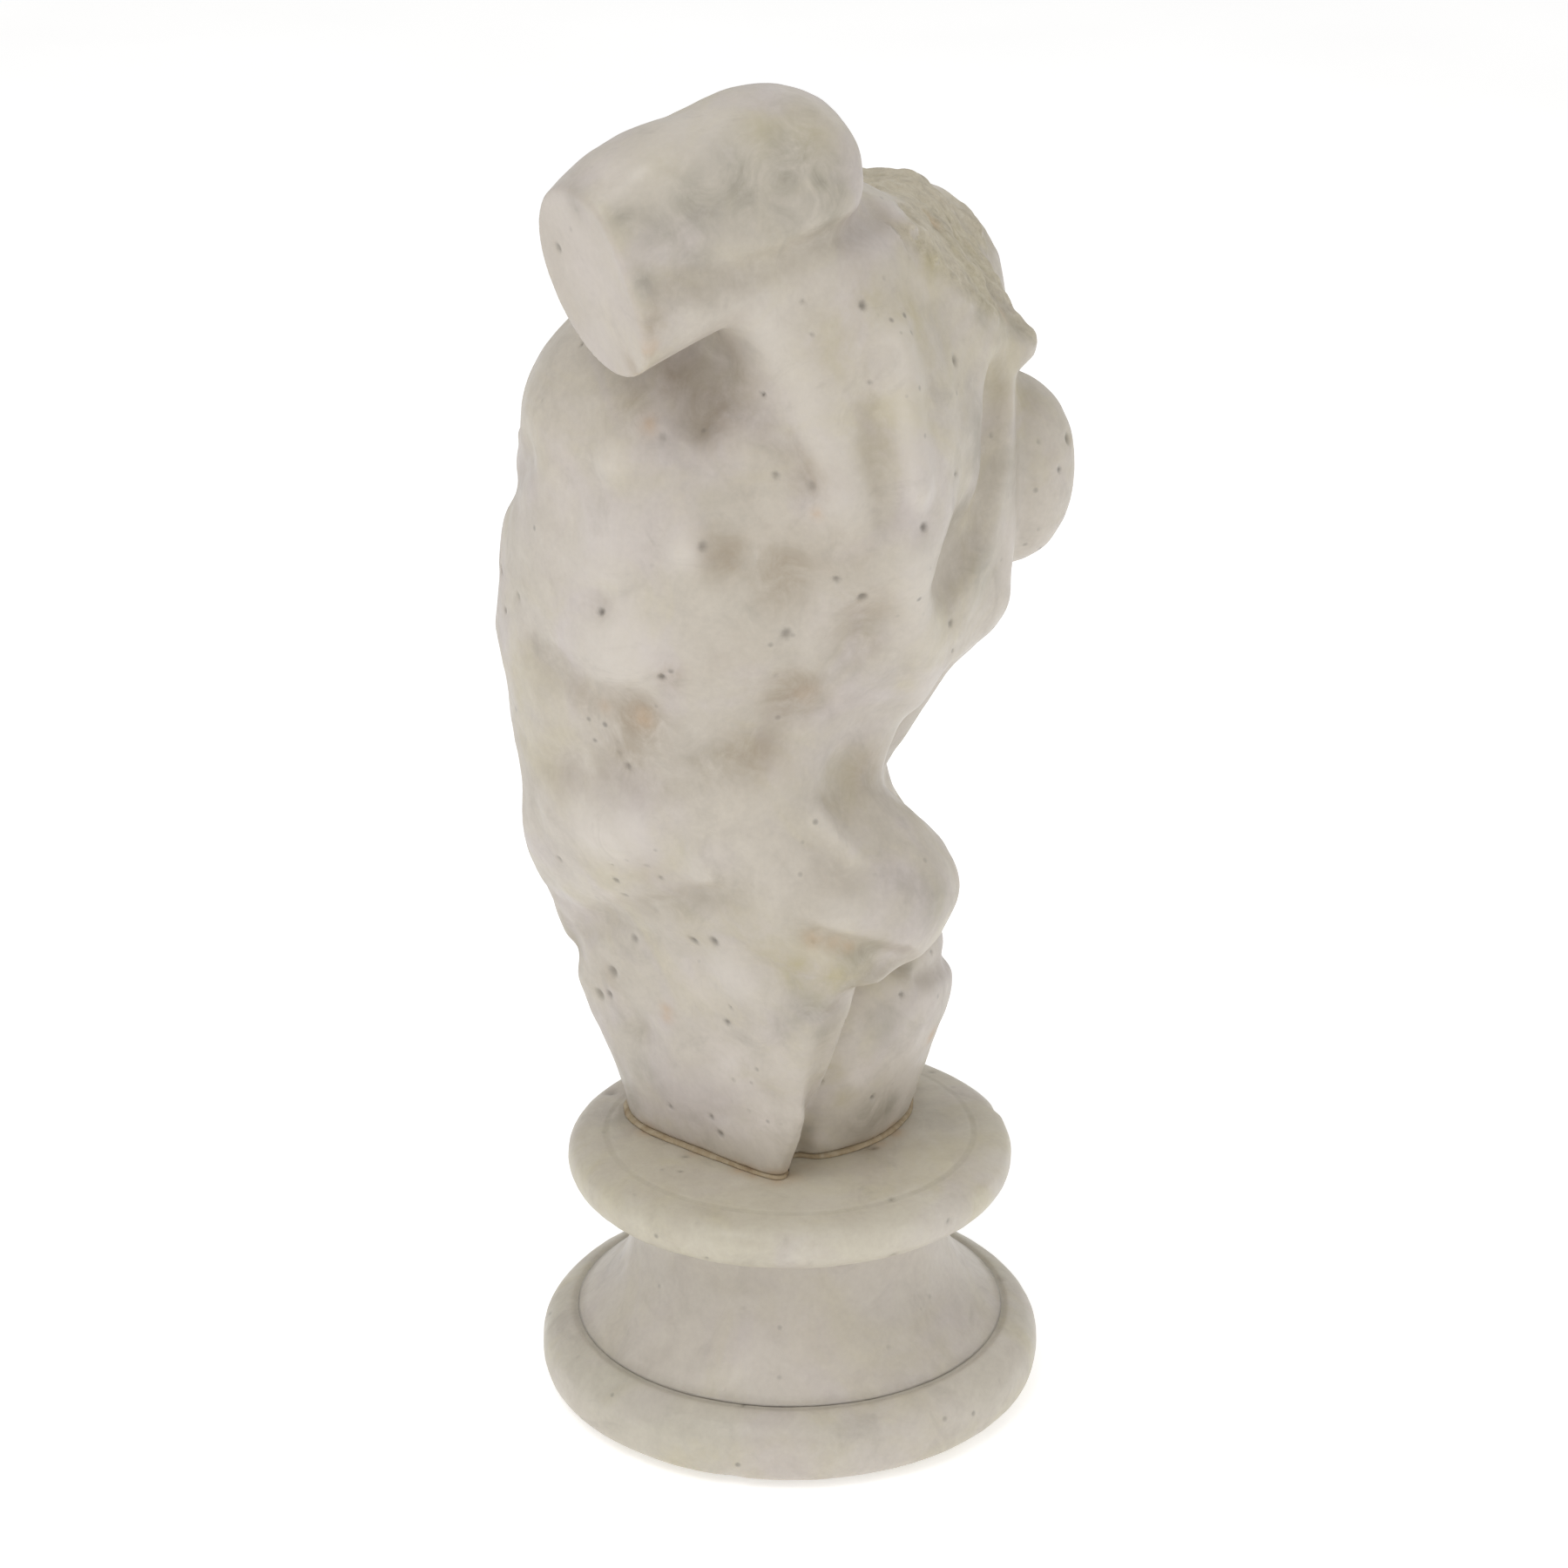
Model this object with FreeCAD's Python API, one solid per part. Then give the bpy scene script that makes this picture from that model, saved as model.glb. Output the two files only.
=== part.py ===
import FreeCAD, Part
import os
from math import sin, cos, pi, sqrt, radians
from FreeCAD import Vector, Placement, Rotation

# ---------------------------------------------------------------------------
# Headless, armless marble torso on a turned three-part socle.
# Frame: figure faces -Y, its left side is +X, its back is +Y, +Z up,
# origin at the centre of the underside.  Millimetres, real size.
# ---------------------------------------------------------------------------

# ---- driving dimensions -----------------------------------------------------
PAD_R = 42.0            # felt pad radius
PAD_T = 2.0             # felt pad thickness
PAD_PROUD = 0.8         # how far the pad stands below the stone
FOOT_R = 49.8           # largest radius of the foot moulding
FOOT_TOP = 14.5         # height of the joint between foot and waist
WAIST_SEAT_R = 42.6     # radius of the waist where it meets the foot
WAIST_NECK_R = 31.0     # narrowest radius of the waist
WAIST_TOP = 42.4        # height of the joint between waist and cap
CAP_R = 43.9            # largest radius of the cap moulding
CAP_TOP = 53.0          # top face of the socle
CAP_FLAT_R = 36.0       # radius of the flat part of the top face
BED_T = 0.8             # mortar bed thickness
BED_MARGIN = 0.9        # how far the bed squeezes out past the torso
STUD_R = 3.0            # M6 tie rod
STUD_HOLE_R = 3.5       # clearance hole through the socle
STUD_Z0 = 2.6
STUD_Z1 = 93.8
GROUT_R = 5.0           # grouted bore in the torso
GROUT_TOP = 95.0
PIN_R = 1.5             # locating pin
PIN_XY = (-15.0, -17.0)
PIN_Z0 = 45.0
PIN_Z1 = 61.6
NUT_POCKET_R = 12.0     # pocket for washers and nut
NUT_POCKET_TOP = 10.6
FIBRE_T = 1.0
FIBRE_R = 10.5
WASHER_T = 1.6
WASHER_R = 9.0
NUT_AF = 10.0           # across flats, M6
NUT_H = 5.0

TORSO_Z0 = CAP_TOP + BED_T
N_RAY = 72              # points round one section of the torso

# Trunk stations: height, centre x, centre y, half width, half depth, exponent
TRUNK = [
    (40, 0, -12, 24, 22, 2.3),
    (60, 0, -11, 29, 24, 2.3),
    (75, 0, -12, 33, 28.5, 2.3),
    (88, 0, -12.6, 35, 32.3, 2.25),
    (97, 0, -12.8, 37, 34.5, 2.25),
    (107, 0, -14.6, 39, 36, 2.2),
    (117, 0, -17, 40, 34, 2.2),
    (127, 0, -18, 40.2, 32.2, 2.2),
    (137, 0, -16.2, 41.5, 35.6, 2.2),
    (147, 0, -14, 43.5, 38.7, 2.2),
    (160, 0, -9.5, 47, 45.5, 2.15),
    (175, 0, -6.5, 50.5, 46, 2.15),
    (190, 0, -4.5, 51.5, 44.5, 2.15),
    (205, 0, -3, 50.5, 41.5, 2.15),
    (220, 0, 1, 46, 34.5, 2.1),
    (231, 0, 7, 38, 25, 2.1),
    (242, 0, 11, 28, 15, 2.1),
    (262, 0, 14, 10, 6, 2.0),
]
ARM_CUT = (63.8, -6.8, 237.3)          # centre of the flat cut of the left arm
ARM_DIR = (0.816, -0.519, -0.255)      # direction that cut faces
SHOULDER = (34.1, 11.4, 251.6)         # middle of the raised left shoulder
ARM_SIDE = (0.558, 0.822, 0.117)       # flattened outer side of the raised arm
ARM_R_IN = 15.9
ARM_R_OUT = 16.8
R_SHOULDER = (-40.0, 2.0, 213.0)       # right shoulder, hanging arm cut short
R_ARM_END = (-60.0, -1.0, 187.0)
R_CUT = (-55.5, -0.5, 193.5)           # centre of its flat cut
R_CUT_DIR = (-0.62, -0.10, -0.78)
NECK_BREAK_P = (-8.0, 22.0, 238.4)     # slanting break across the neck
NECK_BREAK_N = (-0.26, 0.70, 0.665)
NECK_TOP_P = (-8.0, 8.0, 240.8)        # flatter front part of the break
NECK_TOP_N = (-0.03, 0.10, 0.99)
SIDE_P = (17.6, -11.8, 53.8)           # flat outer face of the left thigh
SIDE_N = (0.94, -0.24, -0.22)
REAR_P = (23.4, 11.0, 55.5)            # rear edge of the left thigh
REAR_N = (-0.40, 0.88, -0.28)
FOLD_Z = 99.0                          # fold under the buttocks


# ---- small vector and field helpers ------------------------------------------
def unit(v):
    m = sqrt(v[0] * v[0] + v[1] * v[1] + v[2] * v[2])
    return (v[0] / m, v[1] / m, v[2] / m)


ARM_DIR = unit(ARM_DIR)
R_CUT_DIR = unit(R_CUT_DIR)
NECK_BREAK_N = unit(NECK_BREAK_N)
NECK_TOP_N = unit(NECK_TOP_N)
SIDE_N = unit(SIDE_N)
REAR_N = unit(REAR_N)
k = sum(ARM_SIDE[i] * ARM_DIR[i] for i in range(3))
ARM_SIDE = unit(tuple(ARM_SIDE[i] - k * ARM_DIR[i] for i in range(3)))
ARM_END = tuple(ARM_CUT[i] + 0.35 * (ARM_CUT[i] - SHOULDER[i]) for i in range(3))


def slopes(col):
    """Monotone cubic slopes for one column of the trunk table."""
    n = len(TRUNK)
    h = [TRUNK[i + 1][0] - TRUNK[i][0] for i in range(n - 1)]
    d = [(TRUNK[i + 1][col] - TRUNK[i][col]) / h[i] for i in range(n - 1)]
    m = [0.0] * n
    for i in range(1, n - 1):
        if d[i - 1] * d[i] > 0:
            w1 = 2 * h[i] + h[i - 1]
            w2 = h[i] + 2 * h[i - 1]
            m[i] = (w1 + w2) / (w1 / d[i - 1] + w2 / d[i])
    m[0] = d[0]
    m[-1] = d[-1]
    return m


SLOPE = [None] + [slopes(c) for c in range(1, 6)]


def station(z):
    z = min(max(z, TRUNK[0][0]), TRUNK[-1][0])
    i = 0
    while i < len(TRUNK) - 2 and z > TRUNK[i + 1][0]:
        i += 1
    h = TRUNK[i + 1][0] - TRUNK[i][0]
    t = (z - TRUNK[i][0]) / h
    a = 2 * t ** 3 - 3 * t * t + 1
    b = t ** 3 - 2 * t * t + t
    c = -2 * t ** 3 + 3 * t * t
    d = t ** 3 - t * t
    return [a * TRUNK[i][k] + b * h * SLOPE[k][i] + c * TRUNK[i + 1][k]
            + d * h * SLOPE[k][i + 1] for k in range(1, 6)]


def smin(a, b, k):
    h = max(k - abs(a - b), 0.0) / k
    return min(a, b) - h * h * k * 0.25


def smax(a, b, k):
    return -smin(-a, -b, k)


def ellipsoid(p, c, r, turn=None):
    x, y, z = p[0] - c[0], p[1] - c[1], p[2] - c[2]
    if turn:
        cs, sn = cos(radians(turn)), sin(radians(turn))
        x, y = x * cs + y * sn, -x * sn + y * cs
    k0 = sqrt((x / r[0]) ** 2 + (y / r[1]) ** 2 + (z / r[2]) ** 2)
    k1 = sqrt((x / r[0] ** 2) ** 2 + (y / r[1] ** 2) ** 2 + (z / r[2] ** 2) ** 2)
    return k0 * (k0 - 1) / max(k1, 1e-9)


def cone(p, a, b, ra, rb):
    ab = (b[0] - a[0], b[1] - a[1], b[2] - a[2])
    ap = (p[0] - a[0], p[1] - a[1], p[2] - a[2])
    t = (ap[0] * ab[0] + ap[1] * ab[1] + ap[2] * ab[2]) / (ab[0] ** 2 + ab[1] ** 2 + ab[2] ** 2)
    t = min(max(t, 0.0), 1.0)
    q = (ap[0] - t * ab[0], ap[1] - t * ab[1], ap[2] - t * ab[2])
    return sqrt(q[0] ** 2 + q[1] ** 2 + q[2] ** 2) - (ra + (rb - ra) * t)


def strand(p, pts, rad):
    return min(cone(p, pts[i], pts[i + 1], rad[i], rad[i + 1]) for i in range(len(pts) - 1))


def plane(p, c, n):
    return (p[0] - c[0]) * n[0] + (p[1] - c[1]) * n[1] + (p[2] - c[2]) * n[2]


def body_field(p):
    """Signed distance of the trunk with hips, thighs, back and right shoulder."""
    z = p[2]
    cx, cy, a, b, e = station(z)
    x, y = abs(p[0] - cx) / a, abs(p[1] - cy) / b
    k0 = max((x ** e + y ** e) ** (1 / e), 1e-4)
    g = sqrt((x ** (e - 1) / a) ** 2 + (y ** (e - 1) / b) ** 2) * k0 ** (1 - e)
    d = (k0 - 1) / max(g, 1e-5)
    if k0 < 0.6:
        d = max(d, -min(a, b))
    d *= 0.96
    # buttocks
    d = smin(d, ellipsoid(p, (12, 12, 113.3), (24, 26, 13.2)), 7)
    d = smin(d, ellipsoid(p, (-19, -4, 105), (21, 22, 13)), 5)
    # flank running down into the hip
    d = smin(d, strand(p, [(24, -2, 144), (22, 4, 129), (17, 11, 115)], [20, 19, 22]), 10)
    # left thigh, trimmed by its flat outer face and its rear edge
    near = smin(cone(p, (12, -8, 96), (5, -9, 46), 28, 19),
                cone(p, (14, 9, 99), (12, -3, 44), 23, 18), 6)
    d = smin(d, near, 8)
    d = smax(d, plane(p, SIDE_P, SIDE_N) - 0.6 * max(z - 103, 0), 12)
    d = smax(d, plane(p, REAR_P, REAR_N) - 3.0 * max(z - FOLD_Z, 0), 4)
    # right thigh behind it
    q = (p[0] * 0.8, p[1], p[2])
    d = smin(d, cone(q, (-8.8, 7, 81), (-7.2, -2.5, 48), 20, 19),
             1.5 + 6 * min(max(-p[0] / 20, 0), 1))
    # right shoulder, hanging lower, and the root of the neck
    d = smin(d, ellipsoid(p, (-42, 3, 210), (19, 20, 24)), 12)
    d = smin(d, cone(p, (-6, 14, 218), (-8, 18, 262), 24, 18), 8)
    # shoulder blades and chest
    d = smin(d, ellipsoid(p, (26, 27, 204), (18, 13, 27), -20), 8)
    d = smin(d, ellipsoid(p, (-31, 30.5, 184.5), (13.5, 13.2, 18.5)), 3)
    d = smin(d, ellipsoid(p, (18, -21.5, 206), (26, 16, 16)), 9)
    d = smin(d, ellipsoid(p, (-20, -24, 201), (26, 16, 16)), 9)
    # long muscles either side of the spine
    d = smin(d, strand(p, [(9, 30, 203), (10, 29, 175), (10, 14, 140), (11, 5, 128)], [8, 9, 8.5, 6]), 6)
    d = smin(d, strand(p, [(-10, 26, 222), (-10, 31, 203), (-11, 30.5, 166)], [5, 7, 8.6]), 4)
    d = smin(d, ellipsoid(p, (-18, 35.5, 212.5), (7, 5.5, 5)), 3)
    d = smin(d, strand(p, [(-11, 22, 158), (-10, 12, 138), (-11, 4, 126)], [8, 7.5, 6]), 5)
    return d


def arm_field(p):
    """Signed distance of the raised left arm before its end is cut flat."""
    a = (SHOULDER[0], SHOULDER[1], SHOULDER[2] - 0.6)
    d = cone(p, a, ARM_END, ARM_R_IN, ARM_R_OUT)
    c = (0.42 * SHOULDER[0] + 0.58 * ARM_CUT[0] - 1.0, 0.42 * SHOULDER[1] + 0.58 * ARM_CUT[1] - 1.5,
         0.42 * SHOULDER[2] + 0.58 * ARM_CUT[2] + 1.6)
    d = smin(d, ellipsoid(p, c, (16.8, 16.8, 15.4)), 9)
    d = smin(d, ellipsoid(p, (SHOULDER[0] + 0.5, SHOULDER[1] - 2.0, SHOULDER[2] - 1.5), (16.5, 16.5, 15.5)), 5)
    return smax(d, plane(p, ARM_CUT, ARM_SIDE) - 13.6, 5)


def outline(field, c, ex, ey, grow=0.0, start=6.0):
    """Closed spline round a field in the plane through c spanned by ex and ey."""
    pts = []
    for i in range(N_RAY):
        t = 2 * pi * i / N_RAY
        dx = [cos(t) * ex[j] + sin(t) * ey[j] for j in range(3)]
        lo, hi, r = 0.0, 90.0, start
        v = field([c[j] + r * dx[j] for j in range(3)])
        while v < 0 and r < hi:
            lo = r
            r += max(-v * 0.8, 0.8)
            v = field([c[j] + r * dx[j] for j in range(3)])
        hi = r
        for _ in range(10):
            m = 0.5 * (lo + hi)
            if field([c[j] + m * dx[j] for j in range(3)]) < 0:
                lo = m
            else:
                hi = m
        r = 0.5 * (lo + hi) + grow
        pts.append(Vector(*[c[j] + r * dx[j] for j in range(3)]))
    curve = Part.BSplineCurve()
    curve.interpolate(Points=pts, PeriodicFlag=True, Parameters=[float(i) for i in range(N_RAY + 1)])
    return Part.Wire([curve.toShape()])


def ring(z, grow=0.0):
    """Section of the trunk at one height."""
    cx, cy = station(z)[0], station(z)[1]
    if z < 70:
        cx, cy = -2.0, -7.0
    if z > 215:
        k = min((z - 215) / 25.0, 1.0)
        cx, cy = -7.0 * k, cy + (16.0 - cy) * k
    return outline(body_field, (cx, cy, z), (1, 0, 0), (0, 1, 0), grow)


def half_space(p, n, size=160.0):
    """Block filling the side of a plane that its normal points to."""
    b = Part.makeBox(size, size, size, Vector(-size / 2, -size / 2, 0))
    b.Placement = Placement(Vector(*p), Rotation(Vector(0, 0, 1), Vector(*n)))
    return b


def cyl(r, z0, z1, x=0.0, y=0.0):
    return Part.makeCylinder(r, z1 - z0, Vector(x, y, z0))


def turned(points, curves):
    """Solid of revolution.  points: (r, z) corners; curves: lists of (r, z)."""
    edges = []
    for seg in curves:
        vs = [Vector(r, 0, z) for r, z in seg]
        if len(vs) == 2:
            edges.append(Part.makeLine(vs[0], vs[1]))
        else:
            c = Part.BSplineCurve()
            c.interpolate(vs)
            edges.append(c.toShape())
    w = Part.Wire(edges)
    return Part.Face(w).revolve(Vector(0, 0, 0), Vector(0, 0, 1), 360)


def solid_of(s):
    if s.ShapeType == "Solid":
        return s
    best = max(s.Solids, key=lambda q: q.Volume)
    return best


# ---- torso ---------------------------------------------------------------------
heights = [TORSO_Z0 + 3.5 * i for i in range(58)] + [259.0]
body = Part.makeLoft([ring(z) for z in heights], True, False)
body = solid_of(body)
body = solid_of(body.cut(half_space(NECK_BREAK_P, NECK_BREAK_N)))
body = solid_of(body.cut(half_space(NECK_TOP_P, NECK_TOP_N)))

# raised left arm: sections square to the arm, its end cut flat
axis = unit(tuple(ARM_END[i] - SHOULDER[i] for i in range(3)))
ax_y = unit((-axis[1], axis[0], 0.0))
ax_x = (ax_y[1] * axis[2] - ax_y[2] * axis[1], ax_y[2] * axis[0] - ax_y[0] * axis[2],
        ax_y[0] * axis[1] - ax_y[1] * axis[0])
sections = []
for along in (-15.6, -14.6, -12.8, -10.0, -6.5, -2.5, 2, 7, 12, 17, 22, 27, 32, 37, 42, 48):
    c = tuple(SHOULDER[i] + along * axis[i] - (0.6 if i == 2 else 0.0) for i in range(3))
    sections.append(outline(arm_field, c, ax_x, ax_y, 0.0, 0.5))
arm = solid_of(Part.makeLoft(sections, True, False))
arm = solid_of(arm.cut(half_space(ARM_CUT, ARM_DIR)))
rim = [e for e in arm.Edges if all(abs(plane((v.X, v.Y, v.Z), ARM_CUT, ARM_DIR)) < 0.05 for v in e.Vertexes)
       and abs(plane(tuple(e.CenterOfMass), ARM_CUT, ARM_DIR)) < 0.05]
if len(rim) == 1:
    arm = solid_of(arm.makeFillet(0.8, rim))

# lump of the shoulder girdle between the neck and the raised arm
girdle = Part.makeSphere(1.0)
m = FreeCAD.Matrix()
m.scale(Vector(25.6, 18.8, 18.0))
m.move(Vector(20, 12, 231))
girdle = girdle.transformGeometry(m)

# hanging right arm, cut short
r_axis = unit(tuple(R_ARM_END[i] - R_SHOULDER[i] for i in range(3)))
r_len = sqrt(sum((R_ARM_END[i] - R_SHOULDER[i]) ** 2 for i in range(3)))
r_arm = turned(None, [
    [(0.0, -19.6), (9.0, -17.4), (15.6, -12.0), (19.0, -5.0), (19.6, 1.0), (18.8, 8.0), (17.4, 18.0),
     (15.9, r_len)],
    [(15.9, r_len), (0.0, r_len)],
    [(0.0, r_len), (0.0, -19.6)]])
r_arm.Placement = Placement(Vector(*R_SHOULDER), Rotation(Vector(0, 0, 1), Vector(*r_axis)))
r_arm = solid_of(r_arm.cut(half_space(R_CUT, R_CUT_DIR)))

torso = body
for more in (girdle, r_arm, arm):
    torso = solid_of(torso.fuse(more))
torso = torso.removeSplitter()
torso = solid_of(torso)
torso = solid_of(torso.cut(cyl(GROUT_R, TORSO_Z0 - 5, GROUT_TOP)))
torso = solid_of(torso.cut(cyl(PIN_R + 0.1, TORSO_Z0 - 5, PIN_Z1 + 0.4, *PIN_XY)))

# ---- mortar bed under the torso ------------------------------------------------
foot_ring = ring(TORSO_Z0, BED_MARGIN)
bed = Part.Face(foot_ring).extrude(Vector(0, 0, -BED_T))
bed = solid_of(bed.cut(cyl(STUD_HOLE_R, CAP_TOP - 1, TORSO_Z0 + 1)))
bed = solid_of(bed.cut(cyl(PIN_R + 0.1, CAP_TOP - 1, TORSO_Z0 + 1, *PIN_XY)))

# ---- socle -----------------------------------------------------------------------
cap = turned(None, [
    [(STUD_HOLE_R, WAIST_TOP), (32.6, WAIST_TOP)],
    [(32.6, WAIST_TOP), (38.8, 42.9), (42.3, 44.3), (43.6, 46.3), (CAP_R, 48.6),
     (43.3, 50.6), (41.6, 52.0), (39.2, 52.8), (CAP_FLAT_R, CAP_TOP)],
    [(CAP_FLAT_R, CAP_TOP), (STUD_HOLE_R, CAP_TOP)],
    [(STUD_HOLE_R, CAP_TOP), (STUD_HOLE_R, WAIST_TOP)]])
cap = solid_of(cap.cut(cyl(PIN_R + 0.1, PIN_Z0, CAP_TOP + 1, *PIN_XY)))

waist = turned(None, [
    [(STUD_HOLE_R, FOOT_TOP), (WAIST_SEAT_R, FOOT_TOP)],
    [(WAIST_SEAT_R, FOOT_TOP), (40.6, 16.2), (37.2, 19.4), (34.3, 23.2), (32.3, 27.4),
     (WAIST_NECK_R + 0.3, 31.6), (WAIST_NECK_R, 35.4), (31.3, 39.2), (32.1, WAIST_TOP)],
    [(32.1, WAIST_TOP), (STUD_HOLE_R, WAIST_TOP)],
    [(STUD_HOLE_R, WAIST_TOP), (STUD_HOLE_R, FOOT_TOP)]])

foot = turned(None, [
    [(PAD_R + 0.4, PAD_PROUD), (46.6, PAD_PROUD)],
    [(46.6, PAD_PROUD), (48.6, 2.2), (49.6, 4.6), (FOOT_R, 7.4), (49.4, 10.0),
     (47.6, 12.4), (45.2, 13.9), (43.2, FOOT_TOP)],
    [(43.2, FOOT_TOP), (STUD_HOLE_R, FOOT_TOP)],
    [(STUD_HOLE_R, FOOT_TOP), (STUD_HOLE_R, NUT_POCKET_TOP)],
    [(STUD_HOLE_R, NUT_POCKET_TOP), (NUT_POCKET_R, NUT_POCKET_TOP)],
    [(NUT_POCKET_R, NUT_POCKET_TOP), (NUT_POCKET_R, PAD_T)],
    [(NUT_POCKET_R, PAD_T), (PAD_R + 0.4, PAD_T)],
    [(PAD_R + 0.4, PAD_T), (PAD_R + 0.4, PAD_PROUD)]])

pad = cyl(PAD_R, 0, PAD_T)

# ---- tie rod and its hardware ------------------------------------------------------
stud = cyl(STUD_R, STUD_Z0, STUD_Z1)
stud = stud.makeChamfer(0.5, [e for e in stud.Edges if e.Curve.TypeId == "Part::GeomCircle"])
grout = cyl(GROUT_R - 0.02, TORSO_Z0, GROUT_TOP - 0.02).cut(cyl(STUD_R + 0.02, TORSO_Z0 - 1, STUD_Z1 + 0.02))
grout = solid_of(grout)
pin = cyl(PIN_R, PIN_Z0 + 0.1, PIN_Z1, *PIN_XY)
pin = pin.makeChamfer(0.3, [e for e in pin.Edges if e.Curve.TypeId == "Part::GeomCircle"])
z = NUT_POCKET_TOP
fibre = cyl(FIBRE_R, z - FIBRE_T, z).cut(cyl(STUD_R + 0.2, 0, 20))
z -= FIBRE_T
washer = cyl(WASHER_R, z - WASHER_T, z).cut(cyl(STUD_R + 0.2, 0, 20))
z -= WASHER_T
nut_r = NUT_AF / sqrt(3)
hexagon = Part.makePolygon([Vector(nut_r * cos(pi / 3 * i), nut_r * sin(pi / 3 * i), z - NUT_H)
                            for i in range(7)])
nut = Part.Face(hexagon).extrude(Vector(0, 0, NUT_H))
nut = nut.common(turned(None, [
    [(0, z - NUT_H), (NUT_AF / 2 * 0.97, z - NUT_H)],
    [(NUT_AF / 2 * 0.97, z - NUT_H), (nut_r + 0.1, z - NUT_H + 0.7)],
    [(nut_r + 0.1, z - NUT_H + 0.7), (nut_r + 0.1, z - 0.7)],
    [(nut_r + 0.1, z - 0.7), (NUT_AF / 2 * 0.97, z)],
    [(NUT_AF / 2 * 0.97, z), (0, z)],
    [(0, z), (0, z - NUT_H)]]))
nut = nut.cut(cyl(STUD_R + 0.02, 0, 20))

nodes = {
    "torso": torso,
    "torso_bed": bed,
    "socle_cap": cap,
    "socle_waist": waist,
    "socle_foot": foot,
    "threaded_stud": stud,
    "stud_grout": grout,
    "locating_pin": pin,
    "fibre_washer": fibre,
    "plain_washer": washer,
    "hex_nut": nut,
    "felt_pad": pad,
}

os.makedirs("parts", exist_ok=True)
for name, shape in nodes.items():
    s = solid_of(shape)
    if not s.isValid():
        s = solid_of(s.copy())
        s.fix(1e-4, 1e-4, 1e-3)
    bb = s.BoundBox
    print(name, "valid", s.isValid(), "vol %.1f" % s.Volume,
          "box %.2f %.2f %.2f  %.2f %.2f %.2f" % (bb.XMin, bb.YMin, bb.ZMin, bb.XMax, bb.YMax, bb.ZMax))
    s.exportStep("parts/%s.step" % name)
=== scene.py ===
import bpy
import math
import numpy as np
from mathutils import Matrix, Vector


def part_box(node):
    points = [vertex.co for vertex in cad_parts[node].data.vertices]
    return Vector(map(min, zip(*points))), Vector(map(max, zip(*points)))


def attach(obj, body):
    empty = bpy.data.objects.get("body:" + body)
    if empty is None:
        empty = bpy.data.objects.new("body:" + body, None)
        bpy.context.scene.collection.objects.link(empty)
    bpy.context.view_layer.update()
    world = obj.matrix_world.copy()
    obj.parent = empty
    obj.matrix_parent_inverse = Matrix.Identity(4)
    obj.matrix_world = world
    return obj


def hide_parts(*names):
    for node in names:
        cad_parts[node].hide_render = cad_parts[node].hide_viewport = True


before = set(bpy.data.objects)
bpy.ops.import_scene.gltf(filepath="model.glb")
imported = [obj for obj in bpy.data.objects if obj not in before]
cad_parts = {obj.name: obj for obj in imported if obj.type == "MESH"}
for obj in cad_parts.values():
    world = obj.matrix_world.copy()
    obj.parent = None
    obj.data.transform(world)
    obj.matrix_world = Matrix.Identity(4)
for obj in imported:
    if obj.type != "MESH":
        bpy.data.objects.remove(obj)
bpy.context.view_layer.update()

# ---------------------------------------------------------------------------
# Marble torso on a turned socle.  All shape work is in millimetres and is
# turned into metres when a mesh is made.  Figure faces -Y, left side is +X.
# ---------------------------------------------------------------------------
STEP = 0.62
MM = 0.001


# ---- distance-field helpers ------------------------------------------------
def rot(rx=0,ry=0,rz=0):
    rx,ry,rz=np.radians([rx,ry,rz]); cx,sx,cy,sy,cz,sz=np.cos(rx),np.sin(rx),np.cos(ry),np.sin(ry),np.cos(rz),np.sin(rz)
    X=np.array([[1,0,0],[0,cx,-sx],[0,sx,cx]]);Y=np.array([[cy,0,sy],[0,1,0],[-sy,0,cy]]);Z=np.array([[cz,-sz,0],[sz,cz,0],[0,0,1]])
    return Z@Y@X
def ell(P,c,r,R=None):
    p=P-np.array(c,np.float32)
    if R is not None: p=p@R.astype(np.float32)   # into local: R^T p
    r=np.array(r,np.float32)
    k0=np.sqrt(((p/r)**2).sum(1)); k1=np.sqrt(((p/(r*r))**2).sum(1))
    return k0*(k0-1)/np.maximum(k1,1e-6)
def cone(P,a,b,ra,rb):
    a=np.array(a,np.float32);b=np.array(b,np.float32)
    ab=b-a; t=np.clip(((P-a)@ab)/(ab@ab),0,1)
    d=np.sqrt(((P-a-t[:,None]*ab)**2).sum(1))
    return d-(ra+(rb-ra)*t)
def polyline(P,pts,rad):
    d=None
    for i in range(len(pts)-1):
        e=cone(P,pts[i],pts[i+1],rad[i],rad[i+1])
        d=e if d is None else np.minimum(d,e)
    return d
def smin(a,b,k):
    h=np.maximum(k-np.abs(a-b),0)/k
    return np.minimum(a,b)-h*h*k*0.25
def smax(a,b,k): return -smin(-a,-b,k)
def plane(P,c,n):
    n=np.array(n,np.float32); n=n/np.linalg.norm(n)
    return (P-np.array(c,np.float32))@n


# ---- coherent noise, seeded -------------------------------------------------
_rng = np.random.RandomState(71)
_LAT = _rng.rand(32, 32, 32).astype(np.float32) * 2 - 1


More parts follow.
